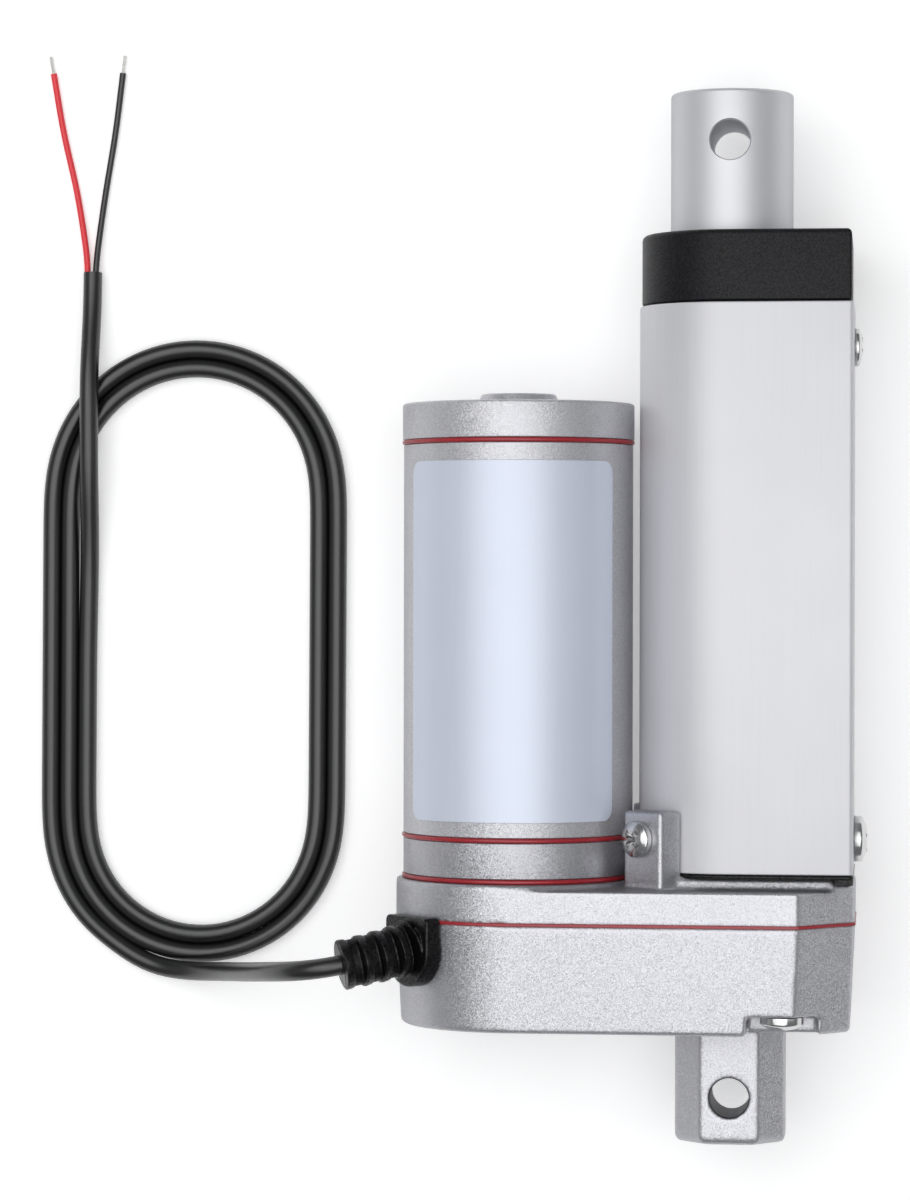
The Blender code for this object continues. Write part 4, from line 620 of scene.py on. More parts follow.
def build_grain(name):
    """Fine and broad noise over the surface, stretched along an axis where lines are wanted."""
    number = "NodeSocketFloat"
    group, given, result = new_group(
        name,
        [
            ("Scale", number, 2000.0), ("Broad Scale", number, 60.0),
            ("Stretch", "NodeSocketVector", (1, 1, 1)),
        ],
        [("Fine", number), ("Broad", number)],
    )
    place = add_node(group, "ShaderNodeTexCoord").outputs["Object"]
    stretched = vector_node(group, "MULTIPLY", place, given.outputs["Stretch"])
    noises = (("Fine", stretched, "Scale", 3.0), ("Broad", place, "Broad Scale", 2.0))
    for label, vector, scale, detail in noises:
        inputs = {"Vector": vector, "Scale": given.outputs[scale], "Detail": detail}
        noise = add_node(group, "ShaderNodeTexNoise", inputs)
        group.links.new(noise.outputs[0], result.inputs[label])
    return group


def build_tint(name):
    """A colour made lighter and darker by a value about one half."""
    number = "NodeSocketFloat"
    group, given, result = new_group(
        name,
        [("Color", "NodeSocketColor", (0.5, 0.5, 0.5, 1)), ("Value", number, 0.5), ("Amount", number, 0.2)],
        [("Color", "NodeSocketColor")],
    )
    swing = math_node(group, "SUBTRACT", given.outputs["Value"], 0.5)
    gain = math_node(group, "MULTIPLY_ADD", swing, given.outputs["Amount"], 1.0)
    scaled = vector_node(group, "SCALE", given.outputs["Color"], Scale=gain)
    group.links.new(scaled, result.inputs["Color"])
    return group


def use_group(tree, name, build, inputs):
    """A shader group in a tree, built where it is first used."""
    group = bpy.data.node_groups.get(name) or build(name)
    return add_node(tree, "ShaderNodeGroup", inputs, node_tree=group)


def new_material(name, **constants):
    """A material with one shader, whose constant values sit on the shader's own sockets."""
    material = bpy.data.materials.new(name)
    material.use_nodes = True
    shader = material.node_tree.nodes["Principled BSDF"]
    for label, value in constants.items():
        shader.inputs[label.replace("_", " ")].default_value = value
    return material, material.node_tree, shader


def opaque(colour):
    return (*colour, 1.0)


def spread(tree, value, low, high):
    """A value from nought to one, moved to run from low to high."""
    mapped = add_node(tree, "ShaderNodeMapRange", {"Value": value, "To Min": low, "To Max": high})
    return mapped.outputs[0]


def tinted(tree, colour, value, amount):
    inputs = {"Color": colour, "Value": value, "Amount": amount}
    return use_group(tree, "tint", build_tint, inputs).outputs["Color"]


def bump_normal(tree, height, strength, distance):
    inputs = {"Height": height, "Strength": strength, "Distance": distance}
    return add_node(tree, "ShaderNodeBump", inputs).outputs["Normal"]


def grained(name, colour, roughness, metallic=0.0, scale=2500.0, broad=60.0, stretch=(1, 1, 1), shade=0.15,
            depth=0.00001, bump=0.3, gloss=None, **constants):
    """Fine grain in a surface's colour, roughness, gloss and bump, and a broad drift of its colour."""
    material, tree, shader = new_material(name, Metallic=metallic, **constants)
    inputs = {"Scale": scale, "Broad Scale": broad, "Stretch": stretch}
    grain = use_group(tree, "surface_grain", build_grain, inputs)
    fine = grain.outputs["Fine"]
    mixed = math_node(tree, "MULTIPLY", fine, 0.5)
    mixed = math_node(tree, "MULTIPLY_ADD", grain.outputs["Broad"], 0.5, mixed)
    tree.links.new(tinted(tree, opaque(colour), mixed, shade), shader.inputs["Base Color"])
    tree.links.new(spread(tree, fine, *roughness), shader.inputs["Roughness"])
    if gloss:
        tree.links.new(spread(tree, fine, *gloss), shader.inputs["Coat Weight"])
    tree.links.new(bump_normal(tree, fine, bump, depth), shader.inputs["Normal"])
    return material


def paint_bore_shade(tree, shader, centre, radius, colour):
    """Mixes a darker colour into the wall of a bore that runs along Z, as painted shade in the bore."""
    place = add_node(tree, "ShaderNodeTexCoord").outputs["Object"]
    aside = vector_node(tree, "SUBTRACT", place, (*centre, 0))
    flat = vector_node(tree, "MULTIPLY", aside, (1, 1, 0))
    reach = add_node(tree, "ShaderNodeVectorMath", {0: flat}, operation="LENGTH")
    bore_shade_mask = math_node(tree, "LESS_THAN", reach.outputs["Value"], radius)
    painted = shader.inputs["Base Color"].links[0].from_socket
    factor, first, second, colour_out = 0, 6, 7, 2
    inputs = {factor: bore_shade_mask, first: painted, second: opaque(colour)}
    mixed = add_node(tree, "ShaderNodeMix", inputs, data_type="RGBA")
    tree.links.new(mixed.outputs[colour_out], shader.inputs["Base Color"])


def silver_paint(name, colour, roughness, flake, tilt, sparkle, peel, **constants):
    """Silver paint: flakes that catch the light one by one over a slightly uneven coat."""
    material, tree, shader = new_material(name, **constants)
    grain = use_group(tree, "surface_grain", build_grain, {"Scale": 900.0, "Broad Scale": 45.0})
    uneven = bump_normal(tree, grain.outputs["Fine"], peel, PEEL_DEPTH)
    flakes = use_group(tree, "metal_flake", build_flake, {"Size": flake, "Tilt": tilt, "Normal": uneven})
    brightness = flakes.outputs["Brightness"]
    sparkling = tinted(tree, opaque(colour), brightness, sparkle)
    drifting = tinted(tree, sparkling, grain.outputs["Broad"], PAINT_DRIFT)
    tree.links.new(drifting, shader.inputs["Base Color"])
    tree.links.new(spread(tree, brightness, *roughness), shader.inputs["Roughness"])
    tree.links.new(flakes.outputs["Normal"], shader.inputs["Normal"])
    return material


# Pieces

def cast_piece(name, shape, joins, cuts, sizes):
    """A casting: solids joined and cut, then softened."""
    thing = new_object(name, shape, at_axis(MOTOR_X))
    for solid, place in joins:
        join(thing, solid, place)
    for solid, place in cuts:
        cut(thing, solid, place)
    remesh(thing, sizes.cast_voxel, sizes.cast_smoothing)
    return thing


def housing_screw_places():
    """(x, z) of the four housing screws, with whether each sits in an open pocket."""
    right = ROD_X + HOUSING_SCREW_RIGHT
    left = MOTOR_X - HOUSING_SCREW_LEFT
    places = []
    for x, depth, open_pocket in ((right, HOUSING_SCREW_DEPTH, True), (left, HOUSING_SCREW_LEFT, False)):
        places += [(x, depth, open_pocket), (x, -depth, open_pocket)]
    return places


def lug_seat(side):
    """Where a lug screw sits on its face, and the way it faces."""
    outward = Vector((-math.sin(LUG_ANGLE), 0, side * math.cos(LUG_ANGLE)))
    along = Vector((-math.cos(LUG_ANGLE), 0, -side * math.sin(LUG_ANGLE)))
    corner = Vector((MOTOR_X + LUG_CORNER_X, 0, side * LUG_CORNER_HEIGHT))
    return corner + along * LUG_SCREW_FROM_CORNER + Vector((0, LUG_SCREW_LEVEL, 0)), outward


def lower_housing(sizes):
    edge_middle = EDGE_ROUND * ROUND_MIDDLE
    eye_middle = EYE_ROUND * ROUND_MIDDLE
    block = stack(gearbox_outline, (
        (DRAFT + EDGE_ROUND, LOWER_BOTTOM), (DRAFT + edge_middle, LOWER_BOTTOM + edge_middle),
        (DRAFT, LOWER_BOTTOM + EDGE_ROUND), (0, LOWER_TOP),
    ))
    eye = stack(eye_outline, (
        (EYE_END_INSET, -EYE_END), (eye_middle, eye_middle - EYE_END),
        (0, EYE_ROUND - EYE_END), (0, LOWER_BOTTOM + EYE_ROOT),
    ))
    cuts = [
        (prism(cavity_outline(), CAVITY_FLOOR, LOWER_TOP + OVERRUN), at_axis(MOTOR_X)),
        (cylinder(PIN_HOLE_RADIUS, -EYE_WIDTH, EYE_WIDTH), facing((ROD_X, 0, 0), (0, 0, 1))),
        (cylinder(LOWER_BUSH_RADIUS, CAVITY_FLOOR - LOWER_BUSH_DEPTH, LOWER_TOP), at_axis(ROD_X)),
        (cylinder(IDLER_PIN_RADIUS, CAVITY_FLOOR - IDLER_PIN_DEPTH, LOWER_TOP), at_axis(IDLER_X)),
    ]
    for x, z, open_pocket in housing_screw_places():
        place = at_axis(x, z)
        cuts.append((cylinder(HOUSING_HOLE_RADIUS, 0, UPPER_TOP), place))
        if open_pocket:
            side = math.copysign(1, z)
            back, past = -POCKET_BACK * side, (HALF_DEPTH + OVERRUN) * side - z
            half = POCKET_WIDTH / 2
            pocket = prism([(-half, back), (half, back), (half, past), (-half, past)], 0, HOUSING_SEAT)
        else:
            pocket = cylinder(COUNTERBORE_RADIUS, 0, HOUSING_SEAT)
        cuts.append((pocket, place))
    return cast_piece("lower_casting", block, [(eye, at_axis(ROD_X))], cuts, sizes)


def pad_outline(half_depth, corner):
    """Outline of the tube's pad, with its right corners cut off along the gearbox's chamfer."""
    half = [(-PAD_LEFT, half_depth), (PAD_RIGHT - corner, half_depth), (PAD_RIGHT, half_depth - corner)]
    return mirrored(half)


def upper_housing(sizes):
    rooted = UPPER_TOP - CASTING_ROOT
    plate = prism(gearbox_outline(0), UPPER_BOTTOM, UPPER_TOP)
    pad = loft([
        at_level(pad_outline(PAD_ROOT_HALF_DEPTH, PAD_ROOT_CORNER), rooted),
        at_level(pad_outline(PAD_HALF_DEPTH, PAD_CORNER), PAD_TOP),
    ])
    chamfer_depth = HALF_DEPTH - CORNER_CHAMFER
    step = mirrored([(PAD_RIGHT, chamfer_depth + RIGHT_REACH - PAD_RIGHT), (RIGHT_REACH, chamfer_depth)])
    joins = [
        (cylinder(MOTOR_BOSS_RADIUS, rooted, MOTOR_SEAT, segments=128), at_axis(MOTOR_X)),
        (pad, at_axis(ROD_X)),
        (prism(step, rooted, END_STEP_TOP), at_axis(ROD_X)),
        (prism(d_outline(TUBE_WALL + SEAT_GAP), rooted, SPIGOT_TOP), at_axis(ROD_X)),
    ]
    cuts = [
        (cylinder(MOTOR_PILOT_RADIUS + SEAT_GAP, LOWER_BOTTOM, TUBE_TOP), at_axis(MOTOR_X)),
        (cylinder(SHOULDER_RADIUS, LOWER_BOTTOM, BEARING_FLOOR), at_axis(ROD_X)),
        (cylinder(BEARING_RADIUS, BEARING_FLOOR, TUBE_TOP), at_axis(ROD_X)),
        (cylinder(IDLER_PIN_RADIUS, LOWER_BOTTOM, UPPER_BOTTOM + IDLER_PIN_DEPTH), at_axis(IDLER_X)),
    ]
    left = Vector((-math.cos(LUG_ANGLE), -math.sin(LUG_ANGLE))) * LUG_FACE_WIDTH
    back = Vector((math.sin(LUG_ANGLE), -math.cos(LUG_ANGLE))) * LUG_DEPTH
    edge = Vector((LUG_CORNER_X, LUG_CORNER_HEIGHT))
    for side in (1, -1):
        corners = (edge, edge + left, edge + left + back, edge + back)
        outline = [(x, side * z) for x, z in corners]
        lug = new_object("lug", prism(outline, rooted, LUG_TOP), at_axis(MOTOR_X))
        cut(lug, prism(d_outline(-SEAT_GAP), LUG_CUT_BOTTOM, LUG_TOP + OVERRUN), at_axis(ROD_X))
        points = [tuple(vertex.co / MM) for vertex in lug.data.vertices]
        joins.append(((points, [tuple(face.vertices) for face in lug.data.polygons]), Matrix.Identity(4)))
        drop(lug)
        hole = cylinder(LUG_SCREW_HOLE_RADIUS, -LUG_SCREW_HOLE_DEPTH, EYE_WIDTH)
        cuts.append((hole, facing(*lug_seat(side))))
    return cast_piece("upper_casting", plate, joins, cuts, sizes)


def build_castings(paint, gasket_material, sizes):
    """The two housings, and the gasket between them with its proud rim."""
    for build, node in ((lower_housing, "gearbox_lower_housing"), (upper_housing, "gearbox_upper_housing")):
        finish_piece(build(sizes), paint, "cast_silver", node, sharp=0)
    skin = stack(gearbox_outline, (
        (GASKET_EDGE_INSET, GASKET_BOTTOM), (-GASKET_PROUD, GASKET_BOTTOM + GASKET_BEVEL),
        (-GASKET_PROUD, GASKET_TOP - GASKET_BEVEL), (GASKET_EDGE_INSET, GASKET_TOP),
    ))
    gasket = new_object("finished_gasket", skin, at_axis(MOTOR_X))
    cut(gasket, prism(cavity_outline(), LOWER_BOTTOM, UPPER_TOP), at_axis(MOTOR_X))
    finish_piece(gasket, gasket_material, "red_silicone", "gearbox_gasket")


def ring_profile(inner, outer, bottom, top, inner_round, outer_round):
    """A closed section of a ring, with rounded corners."""
    corners = ((inner, bottom, inner_round), (outer, bottom, outer_round))
    return rounded(corners + ((outer, top, outer_round), (inner, top, inner_round)))


def d_ring(inset, bottom, top, outer_round, inner_round):
    """A ring with the tube's outline and wall, with rounded corners."""
    section = ((inset, bottom, outer_round), (inset, top, outer_round))
    section += ((TUBE_WALL, top, inner_round), (TUBE_WALL, bottom, inner_round))
    return stack(d_outline, rounded(section, steps=4), endless=True)


def motor_shapes():
    """Sections of the motor's turned parts: name, profile of (radius, level), whether it is a ring."""
    pilot_bottom = FLANGE_BOTTOM - PILOT_HEIGHT
    ledge = FLANGE_TOP - SHAFT_HOLE_DEPTH
    flange = rounded((
        (BUSH_SEAT_RADIUS, pilot_bottom, 0), (MOTOR_PILOT_RADIUS, pilot_bottom, PILOT_ROUND),
        (MOTOR_PILOT_RADIUS, FLANGE_BOTTOM, 0), (MOTOR_RADIUS, FLANGE_BOTTOM, MOTOR_EDGE_ROUND),
        (MOTOR_RADIUS, FLANGE_TOP, MOTOR_EDGE_ROUND), (SHAFT_HOLE_RADIUS, FLANGE_TOP, 0),
        (SHAFT_HOLE_RADIUS, ledge, 0), (BUSH_SEAT_RADIUS, ledge, 0),
    ))
    inside = MOTOR_RADIUS - MOTOR_WALL
    can = ring_profile(inside, MOTOR_RADIUS, CAN_BOTTOM, CAN_TOP, CAN_INNER_ROUND, MOTOR_EDGE_ROUND)
    ceiling = REAR_CAP_TOP - RUNNING_GAP
    cap = rounded((
        (0, ceiling, 0), (BUSH_SEAT_RADIUS, ceiling, 0), (BUSH_SEAT_RADIUS, REAR_CAP_BOTTOM, 0),
        (MOTOR_CAP_RADIUS, REAR_CAP_BOTTOM, MOTOR_EDGE_ROUND),
        (MOTOR_CAP_RADIUS, REAR_CAP_TOP, REAR_CAP_ROUND),
        (REAR_BOSS_FOOT_RADIUS, REAR_CAP_TOP, REAR_CAP_ROUND),
        (REAR_BOSS_RADIUS, REAR_BOSS_TOP, REAR_CAP_ROUND), (0, REAR_BOSS_TOP, 0),
    ), closed=False)
    return (("motor_flange", flange, True), ("motor_can", can, True), ("motor_rear_cap", cap, False))


def tie_bolt_places():
    return ((MOTOR_X, TIE_BOLT_CIRCLE), (MOTOR_X, -TIE_BOLT_CIRCLE))


def build_motor(paint, flange_paint, gasket_material):
    for name, profile, is_ring in motor_shapes():
        turned = revolve(profile, segments=192, endless=is_ring)
        thing = new_object(f"finished_{name}", turned, at_axis(MOTOR_X))
        if name != "motor_can":
            for x, z in tie_bolt_places():
                cut(thing, cylinder(TIE_BOLT_HOLE_RADIUS, UPPER_TOP, CAP_TOP), at_axis(x, z))
                if name == "motor_rear_cap":
                    cut(thing, cylinder(TIE_BOLT_SINK_RADIUS, TIE_BOLT_SEAT, CAP_TOP), at_axis(x, z))
        # The flange takes the darker copy of the motor paint, as painted shade.
        finish = flange_paint if name == "motor_flange" else paint
        finish_piece(thing, finish, "motor_silver", name)
    for name, bottom in RING_GASKETS:
        inner = RING_GASKET_RADIUS - RING_GASKET_WIDTH
        top = bottom + RING_GASKET_HEIGHT
        section = ring_profile(inner, RING_GASKET_RADIUS, bottom, top, 0, RING_GASKET_ROUND)
        thing = new_object(f"finished_{name}", revolve(section, segments=192), at_axis(MOTOR_X))
        finish_piece(thing, gasket_material, "red_silicone", name)


def build_label(material):
    """A bare foil sheet wrapped round the can, its corners rounded and its edges lying close."""
    outer = LABEL_RADIUS + LABEL_THICKNESS
    left = LABEL_LEFT * outer
    right = LABEL_RIGHT * outer
    corner_steps = 8
    middle_steps = 96
    ends = [LABEL_CORNER * (1 - math.cos(math.pi / 2 * step / corner_steps)) for step in range(corner_steps)]
    stations = [left + end for end in ends]
    width = right - left - 2 * LABEL_CORNER
    stations += [left + LABEL_CORNER + width * step / middle_steps for step in range(middle_steps + 1)]
    stations += [right - end for end in reversed(ends)]
    rings = []
    for station in stations:
        past = max(left + LABEL_CORNER - station, station - right + LABEL_CORNER, 0)
        trim = LABEL_CORNER - math.sqrt(max(LABEL_CORNER ** 2 - past ** 2, 0))
        low = LABEL_BOTTOM + trim
        high = LABEL_TOP - trim
        section = [(LABEL_RADIUS, low), (outer - LABEL_EDGE, low), (outer, low + LABEL_EDGE)]
        section += [(outer, high - LABEL_EDGE), (outer - LABEL_EDGE, high), (LABEL_RADIUS, high)]
        angle = station / outer
        rings.append([(r * math.sin(angle), level, r * math.cos(angle)) for r, level in section])
    thing = new_object("finished_label", loft(rings), at_axis(MOTOR_X))
    return finish_piece(thing, material, "label_foil", "motor_label")


def build_tube(anodised, rubber, plastic):
    tube = d_ring(0, TUBE_BOTTOM, TUBE_TOP, outer_round=0.25, inner_round=0.15)
    thing = new_object("finished_tube", tube, at_axis(ROD_X))
    finish_piece(thing, anodised, "anodised_tube", "outer_tube")
    seal = d_ring(-SEAL_PROUD, SEAL_BOTTOM, SEAL_TOP, outer_round=0.25, inner_round=0.1)
    thing = new_object("finished_tube_seal", seal, at_axis(ROD_X))
    lip = mirrored([(SEAL_LIP_LEFT, SEAL_LIP_HALF_DEPTH), (TUBE_FLAT, SEAL_LIP_HALF_DEPTH)])
    join(thing, prism(lip, END_STEP_TOP + SEAT_GAP / 2, SEAL_LIP_TOP), at_axis(ROD_X))
    finish_piece(thing, rubber, "black_rubber", "tube_base_seal")

    inside = TUBE_WALL + SEAT_GAP
    section = ((inside, CAP_SPIGOT_BOTTOM, 0), (inside, CAP_BOTTOM, 0), (CAP_INSET, CAP_BOTTOM, 0.3))
    section += ((CAP_INSET, CAP_TOP, CAP_ROUND), (CAP_BORE_RADIUS / 2, CAP_TOP, 0))
    shell = stack(d_outline, rounded(section, closed=False, steps=7)[:-1])
    cap = new_object("finished_front_cap", shell, at_axis(ROD_X))
    past = CAP_TOP + MOUTH_CHAMFER
    mouth = ((0, TUBE_BOTTOM), (CAP_BORE_RADIUS, TUBE_BOTTOM), (CAP_BORE_RADIUS, CAP_TOP - MOUTH_CHAMFER))
    mouth += ((CAP_BORE_RADIUS + 2 * MOUTH_CHAMFER, past), (0, past))
    cut(cap, revolve(mouth, segments=128, endless=False), at_axis(ROD_X))
    finish_piece(cap, plastic, "black_plastic", "front_cap")
    inner = ROD_RADIUS + RUNNING_GAP
    outer = CAP_BORE_RADIUS - SEAT_GAP / 2
    top = CAP_TOP - SEAT_GAP
    lip_top = top - WIPER_LIP_DROP
    lip = rounded((
        (inner, top - WIPER_HEIGHT, 0.1), (outer, top - WIPER_HEIGHT, 0.1), (outer, top, 0.3),
        (inner + WIPER_GROOVE_OUTER, lip_top, 0.2),
        (inner + WIPER_GROOVE_MIDDLE, top - WIPER_GROOVE_DEPTH, 0.1), (inner, lip_top, 0.15),
    ))
    thing = new_object("finished_wiper", revolve(lip), at_axis(ROD_X))
    finish_piece(thing, rubber, "black_rubber", "rod_wiper_seal")


def build_rod(material):
    profile = rounded((
        (0, ROD_BORE_TOP, 0), (ROD_BORE_RADIUS, ROD_BORE_TOP, 0.4), (ROD_BORE_RADIUS, ROD_BOTTOM, 0.2),
        (ROD_RADIUS, ROD_BOTTOM, 0.3), (ROD_RADIUS, ROD_TOP, ROD_EDGE_ROUND), (0, ROD_TOP, 0),
    ), closed=False, steps=8)
    rod = new_object("finished_rod", revolve(profile, segments=192, endless=False), at_axis(ROD_X))
    wide = PIN_HOLE_RADIUS + HOLE_CHAMFER
    depth = math.sqrt(ROD_RADIUS ** 2 - wide ** 2)
    hole = ((0, -EYE_WIDTH), (wide, -EYE_WIDTH), (wide, -depth), (PIN_HOLE_RADIUS, HOLE_CHAMFER - depth))
    hole += ((PIN_HOLE_RADIUS, depth - HOLE_CHAMFER), (wide, depth), (wide, EYE_WIDTH), (0, EYE_WIDTH))
    cut(rod, revolve(hole, segments=96, endless=False), facing((ROD_X, ROD_HOLE, 0), (0, 0, 1)))
    return finish_piece(rod, material, "rod_alloy", "rod", body="rod")


# Screws, ribs and other repeats, by geometry nodes

def geometry_tree(name, inputs):
    """A geometry group with its named inputs, ready for its nodes."""
    tree = bpy.data.node_groups.new(name, "GeometryNodeTree")
    tree.interface.new_socket("Geometry", in_out="INPUT", socket_type="NodeSocketGeometry")
    for label, kind in inputs:
        tree.interface.new_socket(label, in_out="INPUT", socket_type=kind)
    tree.interface.new_socket("Geometry", in_out="OUTPUT", socket_type="NodeSocketGeometry")
    return tree, tree.nodes.new("NodeGroupInput"), tree.nodes.new("NodeGroupOutput")


def run_tree(thing, tree, values):
    """Runs a geometry group on an object and keeps the result as its plain mesh."""
    step = thing.modifiers.new("repeat", "NODES")
    step.node_group = tree
    for item in tree.interface.items_tree:
        if item.in_out == "INPUT" and values.get(item.name) is not None:
            step[item.identifier] = values[item.name]
    bake_modifiers(thing)


def named_attribute(tree, name):
    node = add_node(tree, "GeometryNodeInputNamedAttribute", {"Name": name}, data_type="FLOAT_VECTOR")
    return node.outputs["Attribute"]


def repeat_tree():
    """Puts turned and scaled copies of one or two objects on each point of a cloud."""
    tree, given, result = geometry_tree("repeat_on_points", [
        ("Part", "NodeSocketObject"), ("Second Part", "NodeSocketObject"), ("Finish", "NodeSocketMaterial"),
    ])
    turn = named_attribute(tree, "turn")
    whole = tree.nodes.new("GeometryNodeJoinGeometry")
    for label, attribute in (("Part", "size"), ("Second Part", "second_size")):
        part = add_node(tree, "GeometryNodeObjectInfo", {"Object": given.outputs[label]})
        copies = add_node(tree, "GeometryNodeInstanceOnPoints", {
            "Points": given.outputs["Geometry"], "Instance": part.outputs["Geometry"],
            "Rotation": turn, "Scale": named_attribute(tree, attribute),
        })
        tree.links.new(copies.outputs["Instances"], whole.inputs["Geometry"])
    solid = add_node(tree, "GeometryNodeRealizeInstances", {"Geometry": whole.outputs["Geometry"]})
    done = add_node(tree, "GeometryNodeSetMaterial", {
        "Geometry": solid.outputs["Geometry"], "Material": given.outputs["Finish"],
    })
    tree.links.new(done.outputs["Geometry"], result.inputs["Geometry"])
    return tree


def repeat(name, part, frames, sizes, material, second=None, second_sizes=None):
    """One object made of copies of a part, and of a second part if given, in frames in metres."""
    mesh = bpy.data.meshes.new(name)
    mesh.from_pydata([place.translation for place in frames], [], [])
    turns = [place.to_euler() for place in frames]
    values = {"turn": turns, "size": sizes, "second_size": second_sizes or sizes}
    for label, vectors in values.items():
        attribute = mesh.attributes.new(label, "FLOAT_VECTOR", "POINT")
        for item, vector in zip(attribute.data, vectors):
            item.vector = vector
    thing = linked_object(name, mesh)
    tree = bpy.data.node_groups.get("repeat_on_points") or repeat_tree()
    run_tree(thing, tree, {"Part": part, "Second Part": second, "Finish": material})
    for label in values:
        left_over = thing.data.attributes.get(label)
        if left_over:
            thing.data.attributes.remove(left_over)
    return thing


def in_metres(place):
    """A frame with its place turned from millimetres to metres."""
    place = place.copy()
    place.translation *= MM
    return place


def round_size(radius, length):
    """The size in metres of a unit part that is round about Y."""
    return Vector((radius, length, radius)) * MM


def head_part():
    """A pan head of unit radius and height with a tapered cross recess, standing along Y, in metres."""
    corners = ((0, 0, 0), (1, 0, 0.06), (1, 0.6, 0.3), (0.6, 0.95, 0.6), (0, 1, 0))
    profile = rounded(corners, closed=False, steps=10)
    head = new_object("screw_head", revolve(profile, segments=64, endless=False), IN_METRES)
    rings = []
    for level, reach, half in ((1.2, 0.66, 0.19), (0.9, 0.6, 0.16), (0.35, 0.3, 0.08)):
        arms = []
        for quarter in range(4):
            turn = Matrix.Rotation(math.pi / 2 * quarter, 2)
            arms += [turn @ Vector(point) for point in ((half, -half), (reach, -half), (reach, half))]
        rings.append([(x, level, z) for x, z in arms])
    cut(head, loft(rings), IN_METRES)
    return head


def shank_part():
    """A threaded shank of unit radius and length, hanging below nought along Y, in metres."""
    turns = 10
    core = 0.8
    past = 0.02
    profile = [(0, past), (core, past)]
    for turn in range(turns):
        profile += [(core, -turn / turns), (1, -(turn + 0.4) / turns), (1, -(turn + 0.6) / turns)]
    profile += [(core, -1), (0, -1 - past)]
    return new_object("screw_shank", revolve(profile, segments=24, endless=False), IN_METRES)


def screw_list():
    """Every screw: its node, its seat in the actuator's frame, the way it faces and its sizes."""
    screws = []
    for number, (x, z, _) in enumerate(housing_screw_places()):
        screws.append((f"housing_screw_{number + 1}", (x, HOUSING_SEAT, z), (0, -1, 0), HOUSING_SCREW))
    for side, name in ((1, "front"), (-1, "back")):
        screws.append((f"lug_screw_{name}", *lug_seat(side), LUG_SCREW))
    flat = ROD_X + TUBE_FLAT
    screws.append(("tube_screw_right", (flat, TUBE_SCREW_LEVEL, 0), (1, 0, 0), TUBE_SCREW))
    screws.append(("cap_screw_right", (flat, CAP_SCREW_LEVEL, 0), (1, 0, 0), CAP_SCREW))
    for number, (x, z) in enumerate(tie_bolt_places()):
        screws.append((f"motor_tie_bolt_{number + 1}", (x, TIE_BOLT_SEAT, z), (0, 1, 0), TIE_BOLT))
    return screws


def build_screws(material):
    """All the outer screws in one piece, each turned by an angle of its own."""
    head = head_part()
    shank = shank_part()
    names, seats, ways, sizes = zip(*screw_list())
    frames = []
    for number, (seat, outward) in enumerate(zip(seats, ways)):
        place = in_metres(facing(Vector(seat) + Vector(outward) * HEAD_GAP, outward))
        turn = math.radians(FIRST_SCREW_TURN + NEXT_SCREW_TURN * number)
        frames.append(place @ Matrix.Rotation(turn, 4, "Y"))
    heads, shanks = ([round_size(*size) for size in each] for each in zip(*sizes))
    thing = repeat("finished_screws", head, frames, heads, material, shank, shanks)
    drop(head)
    drop(shank)
    return finish_piece(thing, material, "zinc_plate", *names, sharp=35.0)


def gland_outward():
    """The way the gland's plate faces, square to the round end of the casting."""
    return Vector((-math.sin(GLAND_ANGLE), 0, math.cos(GLAND_ANGLE)))


def gland_direction(share):
    angle = GLAND_ANGLE + GLAND_TURN * share
    droop = math.cos(GLAND_DROOP)
    return Vector((-math.sin(angle) * droop, -math.sin(GLAND_DROOP), math.cos(angle) * droop))


def gland_point(distance):
    """A point on the gland's bent axis, in the actuator's frame."""
    point = Vector((MOTOR_X, GLAND_LEVEL, 0)) + gland_outward() * (HALF_DEPTH + GLAND_FLANGE)
    steps = 24
    for step in range(steps):
        point += gland_direction((step + 0.5) / steps * distance / GLAND_LENGTH) * distance / steps
    return point


def gland_frame(share):
    return facing(gland_point(GLAND_LENGTH * share), gland_direction(share))


def gland_radius(share):
    return GLAND_BASE_RADIUS + (GLAND_TIP_RADIUS - GLAND_BASE_RADIUS) * share


def oval(place, radius):
    """A section of the gland's core: narrow at its front and back, near the ribs' edge above and below."""
    sides = 48
    angles = [math.tau * step / sides for step in range(sides)]
    tall = radius - GLAND_SPINE_DROP
    return [place @ Vector((GLAND_CORE_RADIUS * math.cos(a), 0, tall * math.sin(a))) for a in angles]


def rib_part():
    """A rib of unit radius and width with rounded edges, standing along Y, in metres."""
    corners = ((0.5, -0.5, 0), (0.97, -0.5, 0.1), (1.0, 0.5, 0.1), (0.5, 0.5, 0))
    return new_object("gland_rib", revolve(rounded(corners), segments=72), IN_METRES)


def gland_plate():
    """The gland's plate, round below and flat above, with its outer edge rounded."""
    half = GLAND_WIDTH / 2
    flat_top = GLAND_HEIGHT - half
    outward = gland_outward()
    across = Vector((0, 1, 0)).cross(outward)
    centre = Vector((MOTOR_X, GLAND_LEVEL - GLAND_PLATE_DROP, 0)) + across * GLAND_PLATE_ASIDE
    rings = []
    edge = GLAND_PLATE_EDGE
    corner = GLAND_PLATE_CORNER
    middle = edge * ROUND_MIDDLE
    flange = GLAND_FLANGE
    for out, inset in ((-flange, 0), (flange - edge, 0), (flange - middle, middle), (flange, edge)):
        top = flat_top - inset
        wide = half - inset
        outline = arc(0, 0, wide, math.pi, math.tau, 24)
        outline += arc(wide - corner, top - corner, corner, 0, math.pi / 2, 6)
        outline += arc(corner - wide, top - corner, corner, math.pi / 2, math.pi, 6)
        place = centre + outward * (HALF_DEPTH + out)
        rings.append([place + across * x + Vector((0, y, 0)) for x, y in outline])
    return loft(rings)


